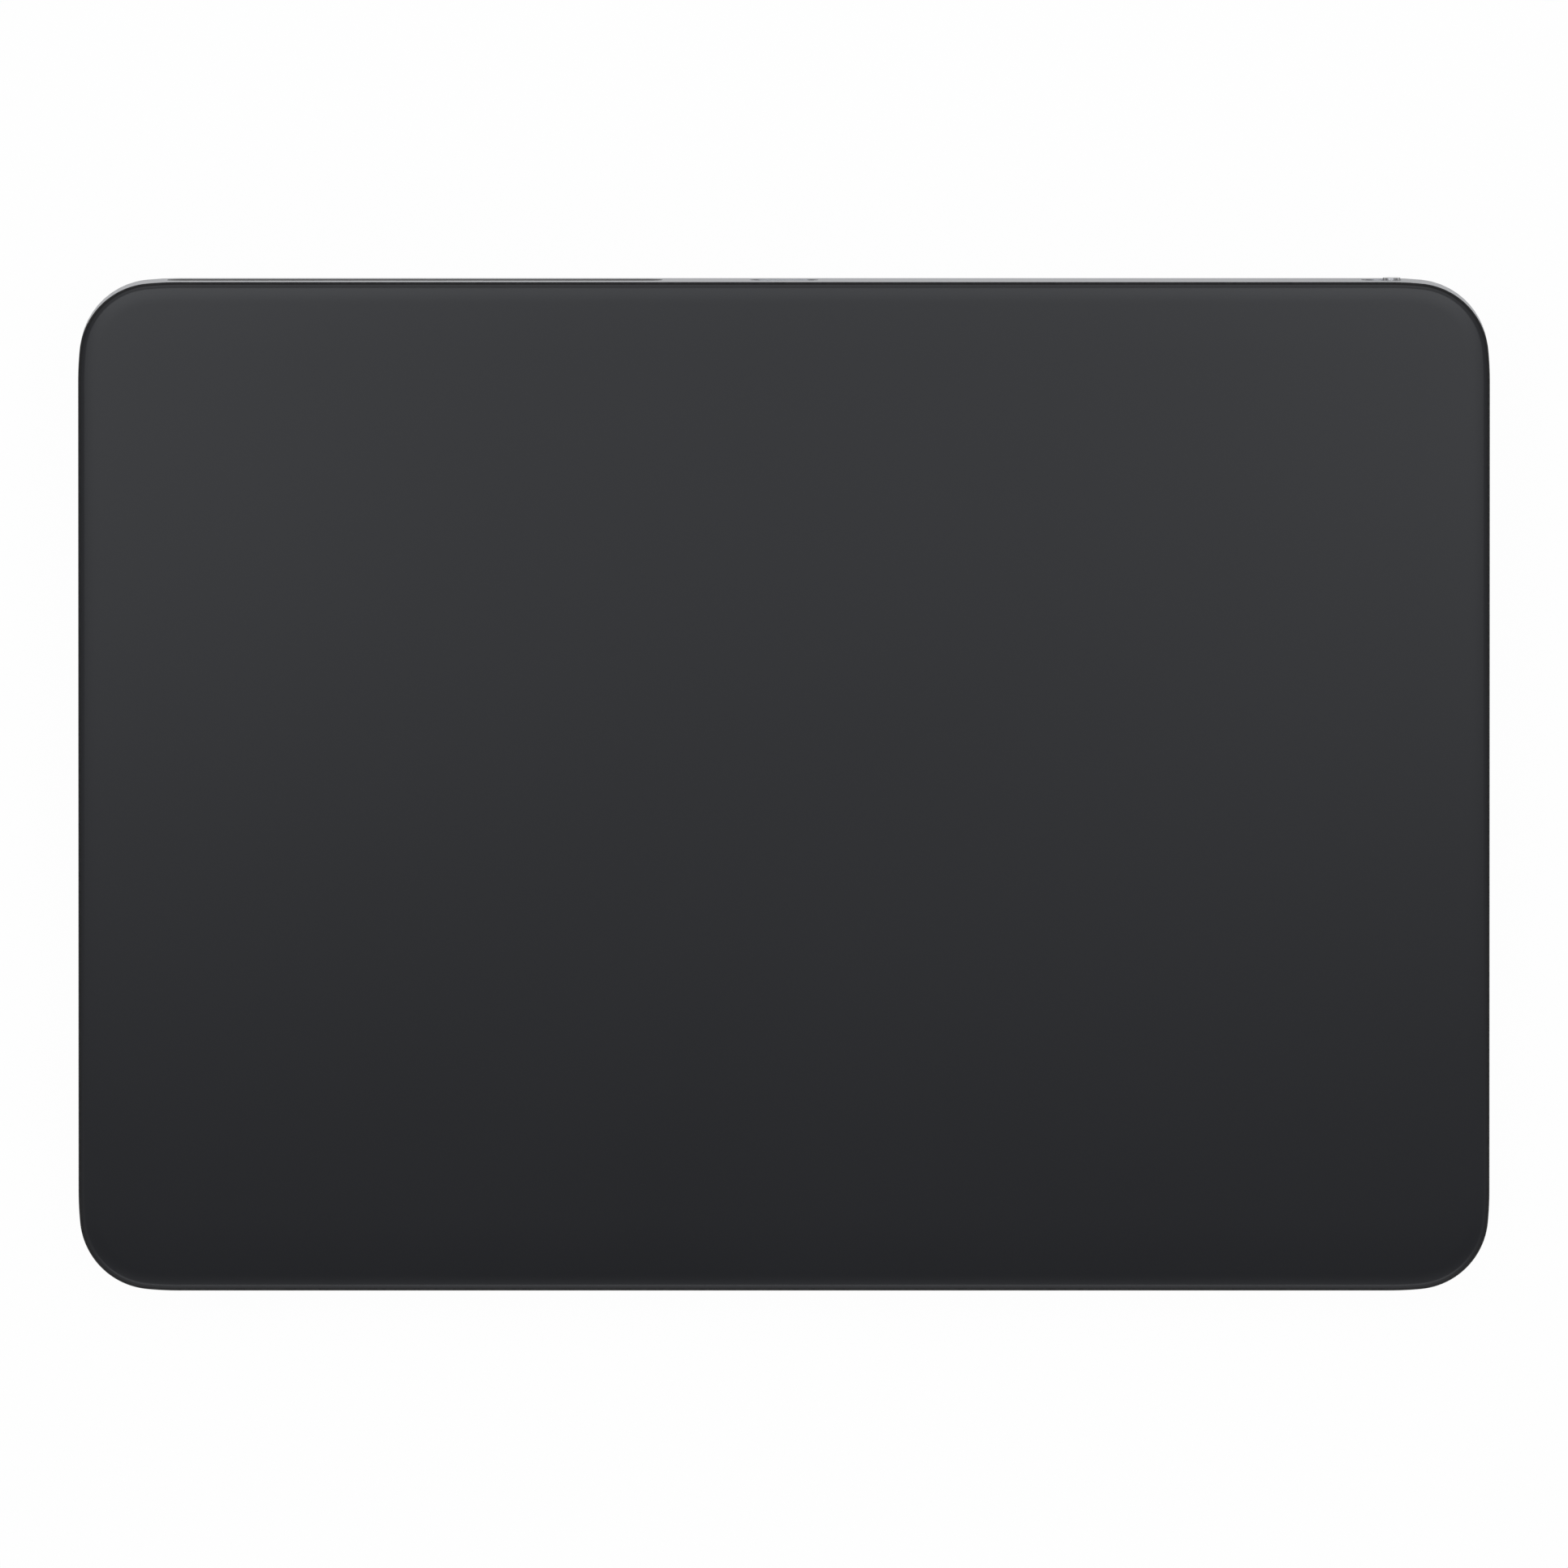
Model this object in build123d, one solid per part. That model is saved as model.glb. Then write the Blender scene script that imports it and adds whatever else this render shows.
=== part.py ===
from build123d import *
import os
from math import asin, cos, radians, sin, tan

# Overall size, standing on its feet on a desk
overall_width = 160.0
deck_length = 114.54
front_height = 4.9
rear_height = 10.9

# Corners of the outline: a tight arc, eased into both sides by slack arcs
corner_radius = 8.4
easing_radius = 38.0
easing_angle = 5.5

# Aluminium enclosure
foot_standoff = 0.6
floor_thickness = 1.0
wall_thickness = 1.8
bottom_round = 1.3
rim_edge_break = 0.15
seam_reserve = 0.1
overrun = 2.0

# Touch surface stack, from the top down
glass_thickness = 1.0
glass_roll_width = 2.1
glass_roll_drop = 0.2
glass_edge_round = 0.25
glass_roll_steps = 3
glass_crown_width = 8.0
glass_crown_drop = 0.15
glass_crown_steps = 2
film_thickness = 0.1
sensor_thickness = 0.5
stiffener_thickness = 0.6
film_inset = 2.2
sensor_inset = 2.3
stiffener_inset = 2.8

# Force flexures at the four corners, and the gel pads that they carry
flexure_thickness = 0.3
flexure_side_distance = 10.0
flexure_end_distance = 11.2
anchor_length = 8.0
anchor_width = 7.0
beam_length = 5.0
beam_width = 4.4
carry_length = 8.0
carry_width = 8.0
gel_thickness = 0.8
gel_diameter = 6.6
gauge_length = 3.0
gauge_width = 2.2
gauge_thickness = 0.12
flexure_screw_spread = 3.8

# Screws, all of one family; hidden small rounds have a few flat sides
small_round_sides = 8
screw_shank = 1.2
screw_head = 2.2
screw_head_height = 0.4
screw_grip = 0.9
screw_fit = 0.06

# Rubber feet in shallow round recesses
foot_diameter = 8.0
foot_recess = 0.5
foot_recess_fit = 0.15
foot_edge_bevel = 0.25
foot_side_distance = 21.0
foot_end_distance = 12.0

# Row of features in the rear wall, all on one centre line over the floor
rear_row_rise = 3.95

# Antenna window and what stands behind it
window_height = 3.7
window_side_distance = 10.05
window_middle_distance = 13.75
window_fit = 0.02
window_flange_overlap = 0.55
window_flange_thickness = 0.6
carrier_end_margin = 4.0
carrier_height = 3.6
carrier_depth = 2.8
carrier_lightening_count = 6
carrier_lightening_depth = 1.6
carrier_rib = 1.2
trace_thickness = 0.1
trace_width = 0.7
trace_leg_count = 5

# Charging port
port_opening_width = 7.76
port_opening_height = 3.3
port_fit = 0.08
port_recess = 0.4
port_shell_wall = 0.25
port_length = 8.3
port_flange_width = 10.4
port_flange_height = 4.4
port_flange_thickness = 0.3
port_mouth_width = 6.9
port_mouth_height = 1.8
port_mouth_depth = 6.6
port_mouth_round = 0.3
port_lip = 0.12
contact_count = 8
contact_pitch = 0.8
contact_width = 0.42
contact_thickness = 0.12
contact_length = 4.6
contact_setback = 1.4
strap_thickness = 0.3
strap_depth = 2.6
strap_foot = 3.2
port_strap_setback = 3.4

# Power switch
recess_width = 4.56
recess_height = 3.2
recess_depth = 0.8
recess_side_distance = 12.28
knob_diameter = 1.97
knob_proud = 0.34
knob_edge_bevel = 0.18
knob_end_gap = 0.13
knob_lift = 0.12
stem_diameter = 1.1
stem_fit = 0.12
carriage_width = 3.4
carriage_height = 2.6
carriage_thickness = 0.6
carriage_fit = 0.1
finger_width = 0.9
finger_height = 0.9
finger_length = 1.6
finger_fit = 0.15
switch_body_width = 7.2
switch_body_height = 3.0
switch_body_depth = 3.2
switch_body_round = 0.3
switch_body_shift = 1.2
switch_strap_setback = 0.3

# Battery, on the floor left of the middle
battery_corner_round = 2.0
battery_edge_slope = 0.7
battery_side_distance = 16.0
battery_rear_distance = 15.2
battery_stack_clearance = 0.65
battery_gap_to_yoke = 5.0
glue_thickness = 0.1
glue_strip_width = 8.0
glue_strip_inset = 10.0
guard_board_width = 2.0
guard_board_length = 18.0
guard_board_height = 3.0
guard_board_setback = 7.0

# Main board, on the floor right of the middle
board_thickness = 0.8
board_corner_round = 1.5
board_gap_to_battery = 4.0
board_gap_to_yoke = 5.0
board_side_distance = 6.0
board_rear_distance = 17.2
board_front_margin = 4.5
board_standoff = 1.0
board_post_diameter = 3.4
board_hole_inset = 2.4
shield_width = 15.0
shield_gap_to_plugs = 1.75
shield_length = 13.0
shield_height = 1.3
shield_wall = 0.2
shield_corner_round = 0.6
control_chip_size = 8.0
control_chip_height = 0.9
driver_chip_size = 5.0
driver_chip_height = 0.8
charger_chip_size = 4.0
charger_chip_height = 0.7
connector_length = 7.0
connector_width = 2.6
connector_height = 1.0
coax_socket_diameter = 2.0
coax_socket_setback = 11.5
coax_socket_height = 1.1
coax_diameter = 0.8
coax_bend = 3.2
coax_sides = 6

# Ribbons between the boards
ribbon_thickness = 0.15
ribbon_width = 4.0
touch_ribbon_width = 7.0
ribbon_slot_fit = 1.0
ribbon_bend = 0.8
switch_ribbon_width = 2.0
ribbon_end_gap = 0.02

# Haptic actuator in front of the battery
yoke_depth = 17.0
yoke_thickness = 0.4
yoke_post_height = 0.6
yoke_ear = 5.0
yoke_forward_shift = 7.5
yoke_side_margin = 5.0
core_width = 34.0
core_depth = 15.0
core_thickness = 1.2
core_back = 4.5
core_leg_width = 7.0
winding_thickness = 0.45
winding_length = 7.5
winding_round = 0.5
pole_reserve = 0.33
armature_overlap = 1.0
armature_plate_depth = 6.5
armature_plate_thickness = 0.6
armature_web = 2.4
armature_drop = 2.6

# Travel of what moves
press_travel = 0.2
haptic_travel = 0.12

# Worked out from the sizes above
slope = asin((rear_height - front_height) / deck_length)
wall_lean = (rear_height - foot_standoff - bottom_round) * sin(slope)
rim_depth = glass_thickness + press_travel + seam_reserve
film_top = glass_thickness
sensor_top = film_top + film_thickness
stiffener_top = sensor_top + sensor_thickness
stack_depth = stiffener_top + stiffener_thickness
flexure_top = stack_depth + gel_thickness
flexure_bottom = flexure_top + flexure_thickness
floor_top = foot_standoff + floor_thickness
board_bottom = floor_top + board_standoff
board_top = board_bottom + board_thickness
plug_top = board_top + connector_height
yoke_width = core_width + 2 * yoke_side_margin
yoke_bottom = floor_top + yoke_post_height
core_bottom = yoke_bottom + yoke_thickness
yoke_centre_y = -yoke_forward_shift
yoke_rear = yoke_centre_y + yoke_depth / 2
armature_width = core_width + 2 * armature_overlap
board_left = yoke_width / 2 + yoke_ear + board_gap_to_yoke
board_width = overall_width / 2 - board_side_distance - board_left
board_centre_x = board_left + board_width / 2
board_rear = deck_length / 2 - board_rear_distance
board_front = yoke_centre_y - board_front_margin
board_length = board_rear - board_front
board_centre_y = (board_rear + board_front) / 2
battery_left = battery_side_distance - overall_width / 2
battery_width = board_left - board_gap_to_battery - battery_left
battery_centre_x = battery_left + battery_width / 2
battery_rear = deck_length / 2 - battery_rear_distance
battery_front = yoke_rear + battery_gap_to_yoke
battery_length = battery_rear - battery_front
battery_centre_y = (battery_rear + battery_front) / 2
guard_board_y = battery_front + guard_board_setback
pole_gap = haptic_travel + pole_reserve
window_length = overall_width / 2 - window_side_distance - window_middle_distance
window_centre = -(window_middle_distance + window_length / 2)
recess_centre = overall_width / 2 - recess_side_distance
knob_travel = recess_width - knob_diameter - 2 * knob_end_gap
knob_centre = recess_centre + recess_width / 2 - knob_end_gap - knob_diameter / 2
switch_body_centre = recess_centre - switch_body_shift
port_shell_width = port_opening_width - 2 * port_fit
port_shell_height = port_opening_height - 2 * port_fit

glass_roll_reach = glass_roll_width + glass_edge_round
crown_fall = glass_crown_drop * (1 - glass_roll_reach / glass_crown_width) ** 2
deck_middle = (front_height + rear_height) / 2 + glass_roll_reach * sin(slope) + crown_fall
stack_bottom = deck_middle + (battery_front + wall_lean / 2) * tan(slope) - stack_depth / cos(slope)
battery_bottom = floor_top + glue_thickness
battery_thickness = stack_bottom - press_travel - battery_stack_clearance - battery_bottom
rear_edge_height = deck_middle + deck_length / 2 * sin(slope)
rear_row_depth = (rear_edge_height - floor_top - rear_row_rise) / cos(slope) - rim_depth

deck = Plane(
    origin=(0, -wall_lean / 2, deck_middle),
    x_dir=(1, 0, 0),
    z_dir=(0, -sin(slope), cos(slope)),
)
rear_wall = Plane(
    origin=deck.from_local_coords((0, deck_length / 2, -(rim_depth + rear_row_depth))),
    x_dir=deck.x_dir,
    z_dir=-deck.y_dir,
)


def on_deck(shape, across=0, along=0, depth=0):
    """Place a shape by the sloping deck: across it, up it and below its surface."""
    return deck.location * Pos(across, along, -depth) * shape


def in_rear_wall(shape, across=0, inward=0, up=0):
    """Place a shape by the rear wall: its Z runs inward from the outer face."""
    return rear_wall.location * Pos(across, up, inward) * shape


def block(width, length, height, x=0, y=0, z=0, corner_round=0):
    """A block that stands on height z, with its upright edges rounded."""
    if corner_round > 0:
        return Pos(x, y, z) * extrude(RectangleRounded(width, length, corner_round), height)
    return Pos(x, y, z) * extrude(Rectangle(width, length), height)


def above(height):
    """Everything over a level of the desk frame."""
    reach = overall_width + deck_length
    return block(reach, reach, reach, z=height)


def outline(inset=0):
    """The plan of the trackpad, drawn in by an inset."""
    slack = easing_radius - inset
    tight = corner_radius - inset
    turn = radians(easing_angle)
    centre = slack * (1 - cos(turn)) + tight * cos(turn)
    reach = centre + (slack - tight) * sin(turn)
    halves = (overall_width / 2 - inset, deck_length / 2 - inset)
    edges = []
    for quarter in range(4):
        a, b = halves if quarter % 2 == 0 else halves[::-1]
        corner = (
            Line((a, reach - b), (a, b - reach)),
            CenterArc((a - slack, b - reach), slack, 0, easing_angle),
            CenterArc((a - centre, b - centre), tight, easing_angle, 90 - 2 * easing_angle),
            CenterArc((a - reach, b - slack), slack, 90 - easing_angle, easing_angle),
        )
        edges += [Rot(Z=90 * quarter) * edge for edge in corner]
    return make_face(edges)


def small_disc(diameter):
    """A small hidden round, such as a screw, a hole or a post."""
    return RegularPolygon(diameter / 2, small_round_sides)


def screw():
    """A low flat-headed screw, its head standing on z = 0."""
    head = extrude(small_disc(screw_head), screw_head_height)
    return head + extrude(small_disc(screw_shank), -(screw_grip + flexure_thickness))


def screw_hole():
    """The threaded hole under a screw, open at z = 0 and a little deeper than the shank."""
    return extrude(small_disc(screw_shank + 2 * screw_fit), -(screw_grip + screw_fit))


def corners(side_distance, end_distance):
    """The four places that lie at the same distances from the sides and the ends."""
    x = overall_width / 2 - side_distance
    y = deck_length / 2 - end_distance
    return {
        "front_left": (-x, -y),
        "front_right": (x, -y),
        "rear_left": (-x, y),
        "rear_right": (x, y),
    }


# Touch surface stack


def rim_drop(inset):
    """How far the glass has fallen away at an inset: a wide slack crown, then the roll."""
    crown = glass_crown_drop * max(1 - inset / glass_crown_width, 0) ** 2
    roll = glass_roll_drop * max(1 - inset / glass_roll_reach, 0) ** 2
    return crown + roll


def touch_glass():
    """One sheet of glass whose rim falls away, rolls down and ends in a small round."""
    crown_span = (glass_crown_width - glass_roll_reach) / glass_crown_steps
    insets = [glass_crown_width - crown_span * step for step in range(glass_crown_steps)]
    roll_span = glass_roll_width / glass_roll_steps
    insets += [glass_roll_reach - roll_span * step for step in range(glass_roll_steps + 1)]
    sections = [Pos(0, 0, -rim_drop(inset)) * outline(inset) for inset in insets]
    for step in range(1, glass_roll_steps + 1):
        turn = radians(90 * step / glass_roll_steps)
        drop = rim_drop(glass_edge_round) + glass_edge_round * (1 - cos(turn))
        sections.append(Pos(0, 0, -drop) * outline(glass_edge_round * (1 - sin(turn))))
    sections.append(Pos(0, 0, -glass_thickness) * outline())
    return on_deck(loft(sections, ruled=True))


def sensor_film():
    """The adhesive film that bonds the sensor board to the glass."""
    return on_deck(extrude(outline(film_inset), -film_thickness), depth=film_top)


def touch_sensor_board():
    """The board that senses fingers all over the pad."""
    return on_deck(extrude(outline(sensor_inset), -sensor_thickness), depth=sensor_top)


def touch_ribbon_place():
    """Where the ribbon from the sensor board comes down, over the main board."""
    return board_centre_x + board_width / 4, board_centre_y


def stiffener_plate():
    """The steel plate under the sensor board, slotted for its ribbon."""
    plate = extrude(outline(stiffener_inset), -stiffener_thickness)
    x, y = touch_ribbon_place()
    slot = Rectangle(touch_ribbon_width + 2 * ribbon_slot_fit, 2 * ribbon_slot_fit)
    slot = extrude(slot, -overrun)
    return on_deck(plate - Pos(x, y, 0) * slot, depth=stiffener_top)


def armature():
    """The angle that hangs from the stiffener beside the magnet's poles."""
    profile = Polyline(
        (0, 0),
        (armature_plate_depth, 0),
        (armature_plate_depth, -armature_plate_thickness),
        (armature_web, -armature_plate_thickness),
        (armature_web, -armature_plate_thickness - armature_drop),
        (0, -armature_plate_thickness - armature_drop),
        close=True,
    )
    angle = extrude(Plane.YZ * make_face(profile), armature_width / 2, both=True)
    return on_deck(mirror(angle, Plane.XZ), along=yoke_rear + pole_gap + armature_web, depth=stack_depth)


# Force flexures


def flexure(side):
    """One spring-steel flexure: anchor, neck and carrying pad, side by side."""
    neck_end = anchor_length / 2 + beam_length + carry_length / 2
    sketch = Rectangle(anchor_length, anchor_width)
    sketch += Pos(-side * neck_end, 0) * Rectangle(carry_length, carry_width)
    sketch += Pos(-side * neck_end / 2, 0) * Rectangle(neck_end, beam_width)
    for along in (-flexure_screw_spread / 2, flexure_screw_spread / 2):
        sketch -= Pos(0, along) * small_disc(screw_shank + 2 * screw_fit)
    return extrude(sketch, -flexure_thickness)


def flexure_parts():
    """The flexures, gauges and gel pads of all four corners, and their screws."""
    found = {}
    screws = []
    to_neck = anchor_length / 2 + beam_length / 2
    to_pad = anchor_length / 2 + beam_length + carry_length / 2
    for name, (x, y) in corners(flexure_side_distance, flexure_end_distance).items():
        side = 1 if x > 0 else -1
        found["force_flexure_" + name] = on_deck(flexure(side), x, y, flexure_top)
        gauge = block(gauge_length, gauge_width, gauge_thickness)
        found["strain_gauge_" + name] = on_deck(gauge, x - side * to_neck, y, flexure_top)
        gel = extrude(small_disc(gel_diameter), gel_thickness)
        found["gel_pad_" + name] = on_deck(gel, x - side * to_pad, y, flexure_top)
        for along in (-flexure_screw_spread / 2, flexure_screw_spread / 2):
            screws.append(on_deck(screw(), x, y + along, flexure_top))
    found["flexure_screws"] = Compound(screws)
    return found


# Enclosure


def board_screw_places():
    """The four screws of the main board, inset from its corners."""
    half_width = board_width / 2 - board_hole_inset
    half_length = board_length / 2 - board_hole_inset
    return [
        (board_centre_x + i * half_width, board_centre_y + j * half_length)
        for i in (-1, 1)
        for j in (-1, 1)
    ]


def yoke_screw_places():
    """The four screws of the actuator, in ears at its two ends."""
    x = yoke_width / 2 + yoke_ear / 2
    y = yoke_depth / 2 - yoke_ear / 2
    return [(i * x, yoke_centre_y + j * y) for i in (-1, 1) for j in (-1, 1)]


def strap_span(width):
    """How far apart the two screws of a strap over a body of this width stand."""
    return width + 2 * strap_thickness + strap_foot


def port_seat_height():
    """How far the port's seat lies under the centre line of the rear row."""
    return port_shell_height / 2


def cradle(width, seat_depth, across, setback):
    """A seat milled square to the deck for a part that is held by a strap."""
    length = strap_span(width) + strap_foot
    depth = rim_depth + rear_row_depth + seat_depth
    seat = block(length, strap_depth, -rear_height)
    along = deck_length / 2 - setback - strap_depth / 2
    return on_deck(seat, across, along, depth)


def switch_strap_depth():
    """How far inside the wall's outer face the switch strap starts."""
    return switch_body_start() + switch_strap_setback


def switch_body_start():
    """How far inside the wall's outer face the switch body starts."""
    return wall_thickness + 2 * carriage_fit + carriage_thickness


def enclosure_blank():
    """The outside: the plan run down square to the deck, cut level and rounded below."""
    blank = on_deck(extrude(outline(), -rear_height), depth=rim_depth) & above(foot_standoff)
    bottom = blank.faces().sort_by(Axis.Z)[0]
    blank = fillet(bottom.outer_wire().edges(), bottom_round)
    rim = blank.faces().sort_by(Axis(deck.origin, deck.z_dir))[-1]
    return chamfer(rim.outer_wire().edges(), rim_edge_break)


def enclosure_pocket():
    """The inside: the plan drawn in by the wall, down to a level floor."""
    pocket = on_deck(extrude(outline(wall_thickness), -rear_height), depth=rim_depth)
    return pocket & above(floor_top)


def post(x, y, top):
    """A round post whose top is level with the desk."""
    return Pos(x, y, top) * extrude(small_disc(board_post_diameter), foot_standoff - top)


def enclosure_bosses():
    """Everything that stands up from the floor, each milled to its own height."""
    bosses = []
    for x, y in corners(flexure_side_distance, flexure_end_distance).values():
        pad = block(anchor_length, anchor_width, -rear_height)
        bosses.append(on_deck(pad, x, y, flexure_bottom))
    bosses.append(cradle(port_shell_width, port_seat_height(), 0, port_strap_setback))
    bosses.append(
        cradle(switch_body_width, switch_body_height / 2, switch_body_centre, switch_strap_depth())
    )
    for x, y in board_screw_places():
        bosses.append(post(x, y, board_bottom))
    for x, y in yoke_screw_places():
        bosses.append(post(x, y, yoke_bottom))
    return [boss & above(foot_standoff + floor_thickness / 2) for boss in bosses]


def strap_screw_places(width, across):
    """The places across the deck of the two screws of a strap."""
    return [across + side * strap_span(width) / 2 for side in (-1, 1)]


def enclosure_holes():
    """The threaded holes, each open at the top of its boss."""
    holes = []
    for x, y in corners(flexure_side_distance, flexure_end_distance).values():
        for along in (-flexure_screw_spread / 2, flexure_screw_spread / 2):
            holes.append(on_deck(screw_hole(), x, y + along, flexure_bottom))
    for x, y in board_screw_places():
        holes.append(Pos(x, y, board_bottom) * screw_hole())
    for x, y in yoke_screw_places():
        holes.append(Pos(x, y, yoke_bottom) * screw_hole())
    port_depth = rim_depth + rear_row_depth + port_seat_height()
    for x in strap_screw_places(port_shell_width, 0):
        along = deck_length / 2 - port_strap_setback - strap_depth / 2
        holes.append(on_deck(screw_hole(), x, along, port_depth))
    switch_depth = rim_depth + rear_row_depth + switch_body_height / 2
    for x in strap_screw_places(switch_body_width, switch_body_centre):
        along = deck_length / 2 - switch_strap_depth() - strap_depth / 2
        holes.append(on_deck(screw_hole(), x, along, switch_depth))
    return holes


def rear_opening(width, height, depth, across):
    """A round-ended opening milled into the rear wall from outside."""
    return in_rear_wall(extrude(SlotOverall(width, height), depth + overrun), across, -overrun)


def enclosure():
    """The milled wedge: outside, pocket, bosses, rear openings and foot recesses."""
    body = enclosure_blank() - enclosure_pocket()
    for boss in enclosure_bosses():
        body += boss
    cuts = enclosure_holes()
    cuts.append(rear_opening(window_length, window_height, wall_thickness, window_centre))
    cuts.append(rear_opening(port_opening_width, port_opening_height, wall_thickness, 0))
    cuts.append(rear_opening(recess_width, recess_height, recess_depth, recess_centre))
    stem_slot = stem_diameter + 2 * stem_fit
    cuts.append(rear_opening(stem_slot + knob_travel, stem_slot, wall_thickness + overrun, recess_centre))
    for x, y in corners(foot_side_distance, foot_end_distance).values():
        recess = Circle(foot_diameter / 2 + foot_recess_fit)
        cuts.append(Pos(x, y, 0) * extrude(recess, foot_standoff + foot_recess))
    for cut in cuts:
        body -= cut
    return body


def feet():
    """Four soft discs, one in each recess, bevelled where they meet the desk."""
    found = {}
    for name, (x, y) in corners(foot_side_distance, foot_end_distance).items():
        disc = extrude(Circle(foot_diameter / 2), foot_standoff + foot_recess)
        disc = chamfer(disc.edges().sort_by(Axis.Z)[0], foot_edge_bevel)
        found["foot_" + name] = Pos(x, y, 0) * disc
    return found


# Antenna


def antenna_window():
    """The plastic window: a plug flush with the wall and a flange behind it."""
    plug = extrude(
        SlotOverall(window_length - 2 * window_fit, window_height - 2 * window_fit), wall_thickness
    )
    spread = 2 * window_flange_overlap
    flange = extrude(
        SlotOverall(window_length - spread, window_height + spread), window_flange_thickness
    )
    return in_rear_wall(plug + Pos(0, 0, wall_thickness) * flange, window_centre)


def carrier_length():
    """The antenna carrier is a little shorter than its window."""
    return window_length - 2 * carrier_end_margin


def antenna_carrier():
    """The moulded bar behind the window, hollowed between ribs from its back."""
    start = wall_thickness + window_flange_thickness
    bar = extrude(Rectangle(carrier_length(), carrier_height), carrier_depth)
    pitch = (carrier_length() - carrier_rib) / carrier_lightening_count
    opening = Rectangle(pitch - carrier_rib, carrier_height - 2 * carrier_rib)
    pocket = extrude(opening, -carrier_lightening_depth)
    for i in range(carrier_lightening_count):
        x = (i - (carrier_lightening_count - 1) / 2) * pitch
        bar -= Pos(x, 0, carrier_depth) * pocket
    return in_rear_wall(bar, window_centre, start)


def antenna_trace():
    """The copper element on top of the carrier, folded back and forth."""
    start = wall_thickness + window_flange_thickness
    length = carrier_length() - 2 * carrier_rib
    spine = Rectangle(length, trace_width)
    sketch = Pos(0, trace_width / 2) * spine
    pitch = (length - trace_width) / (trace_leg_count - 1)
    for i in range(trace_leg_count):
        x = -length / 2 + trace_width / 2 + i * pitch
        sketch += Pos(x, carrier_depth / 2) * Rectangle(trace_width, carrier_depth)
    sheet = extrude(Plane.XZ * sketch, -trace_thickness)
    return in_rear_wall(sheet, window_centre, start, carrier_height / 2)


def antenna_coax():
    """The thin coaxial lead from the carrier, round the battery, to the main board."""
    radius = coax_diameter / 2
    level = floor_top + radius + glue_thickness
    end = window_centre + carrier_length() / 2
    inward = wall_thickness + window_flange_thickness + carrier_depth / 2
    start = rear_wall.from_local_coords((end, 0, inward))
    lane = battery_centre_y + battery_length / 2 + coax_bend
    gap = board_left - (board_gap_to_battery - guard_board_width) / 2
    socket_x, socket_y = coax_socket_place()
    plug_level = board_top + coax_socket_height / 2
    points = [
        (start.X, start.Y, start.Z),
        (start.X + coax_bend, start.Y, start.Z),
        (start.X + 3 * coax_bend, lane, level),
        (gap, lane, level),
        (gap, socket_y + 3 * coax_bend, level),
        (gap, socket_y + coax_bend, plug_level),
        (gap, socket_y, plug_level),
        (socket_x - coax_socket_diameter / 2, socket_y, plug_level),
    ]
    bends = (coax_bend, coax_bend, coax_bend, 2 * coax_bend, 2 * coax_bend, coax_diameter)
    path = FilletPolyline(*points, radius=bends)
    section = Plane(origin=path @ 0, z_dir=path % 0) * RegularPolygon(radius, coax_sides)
    return sweep(section, path)


# Charging port


def shell_bore():
    """The inside of the shell, which the liner fills."""
    wall = 2 * port_shell_wall
    return SlotOverall(port_shell_width - wall, port_shell_height - wall)


def port_shell():
    """The drawn steel shell of the socket, with its flange behind the wall."""
    tube = SlotOverall(port_shell_width, port_shell_height)
    bore = shell_bore()
    shell = Pos(0, 0, port_recess) * extrude(tube, port_length)
    flange = extrude(Rectangle(port_flange_width, port_flange_height), port_flange_thickness)
    shell += Pos(0, 0, wall_thickness) * flange
    return in_rear_wall(shell - extrude(bore, port_recess + port_length + overrun))


def port_insulator():
    """The moulded liner that leaves the flat mouth for the plug."""
    outer = shell_bore()
    mouth = RectangleRounded(port_mouth_width, port_mouth_height, port_mouth_round)
    liner = extrude(outer, port_length - port_lip) - extrude(mouth, port_mouth_depth)
    return in_rear_wall(liner, 0, port_recess + port_lip)


def port_contacts():
    """Eight sprung contacts side by side on the floor of the mouth."""
    contacts = []
    start = port_recess + port_lip + contact_setback
    for i in range(contact_count):
        x = (i - (contact_count - 1) / 2) * contact_pitch
        strip = extrude(Rectangle(contact_width, contact_thickness), contact_length)
        up = (contact_thickness - port_mouth_height) / 2
        contacts.append(in_rear_wall(strip, x, start, up))
    return Compound(contacts)


def strap(width, height):
    """A pressed strap over a body, with a foot and a screw hole on each side."""
    inner = Rectangle(width, height)
    wide = width + 2 * strap_thickness
    hoop = Pos(0, strap_thickness / 2) * Rectangle(wide, height + strap_thickness)
    foot_row = Rectangle(strap_span(width) + strap_foot, strap_thickness)
    feet_bar = Pos(0, (strap_thickness - height) / 2) * foot_row
    sketch = hoop + feet_bar - inner
    band = extrude(sketch, strap_depth)
    for side in (-1, 1):
        hole = Rot(X=90) * extrude(small_disc(screw_shank + 2 * screw_fit), height, both=True)
        band -= Pos(side * strap_span(width) / 2, 0, strap_depth / 2) * hole
    return band


def strap_screws(width, height, across, setback):
    """The two screws of a strap, their heads on its feet."""
    depth = rim_depth + rear_row_depth + height / 2 - strap_thickness
    along = deck_length / 2 - setback - strap_depth / 2
    return Compound([on_deck(screw(), x, along, depth) for x in strap_screw_places(width, across)])


def port_strap():
    """The strap that holds the socket down on its seat."""
    return in_rear_wall(strap(port_shell_width, port_shell_height), 0, port_strap_setback)


def port_screws():
    """The two screws of the socket's strap."""
    return strap_screws(port_shell_width, port_shell_height, 0, port_strap_setback)


# Power switch


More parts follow.
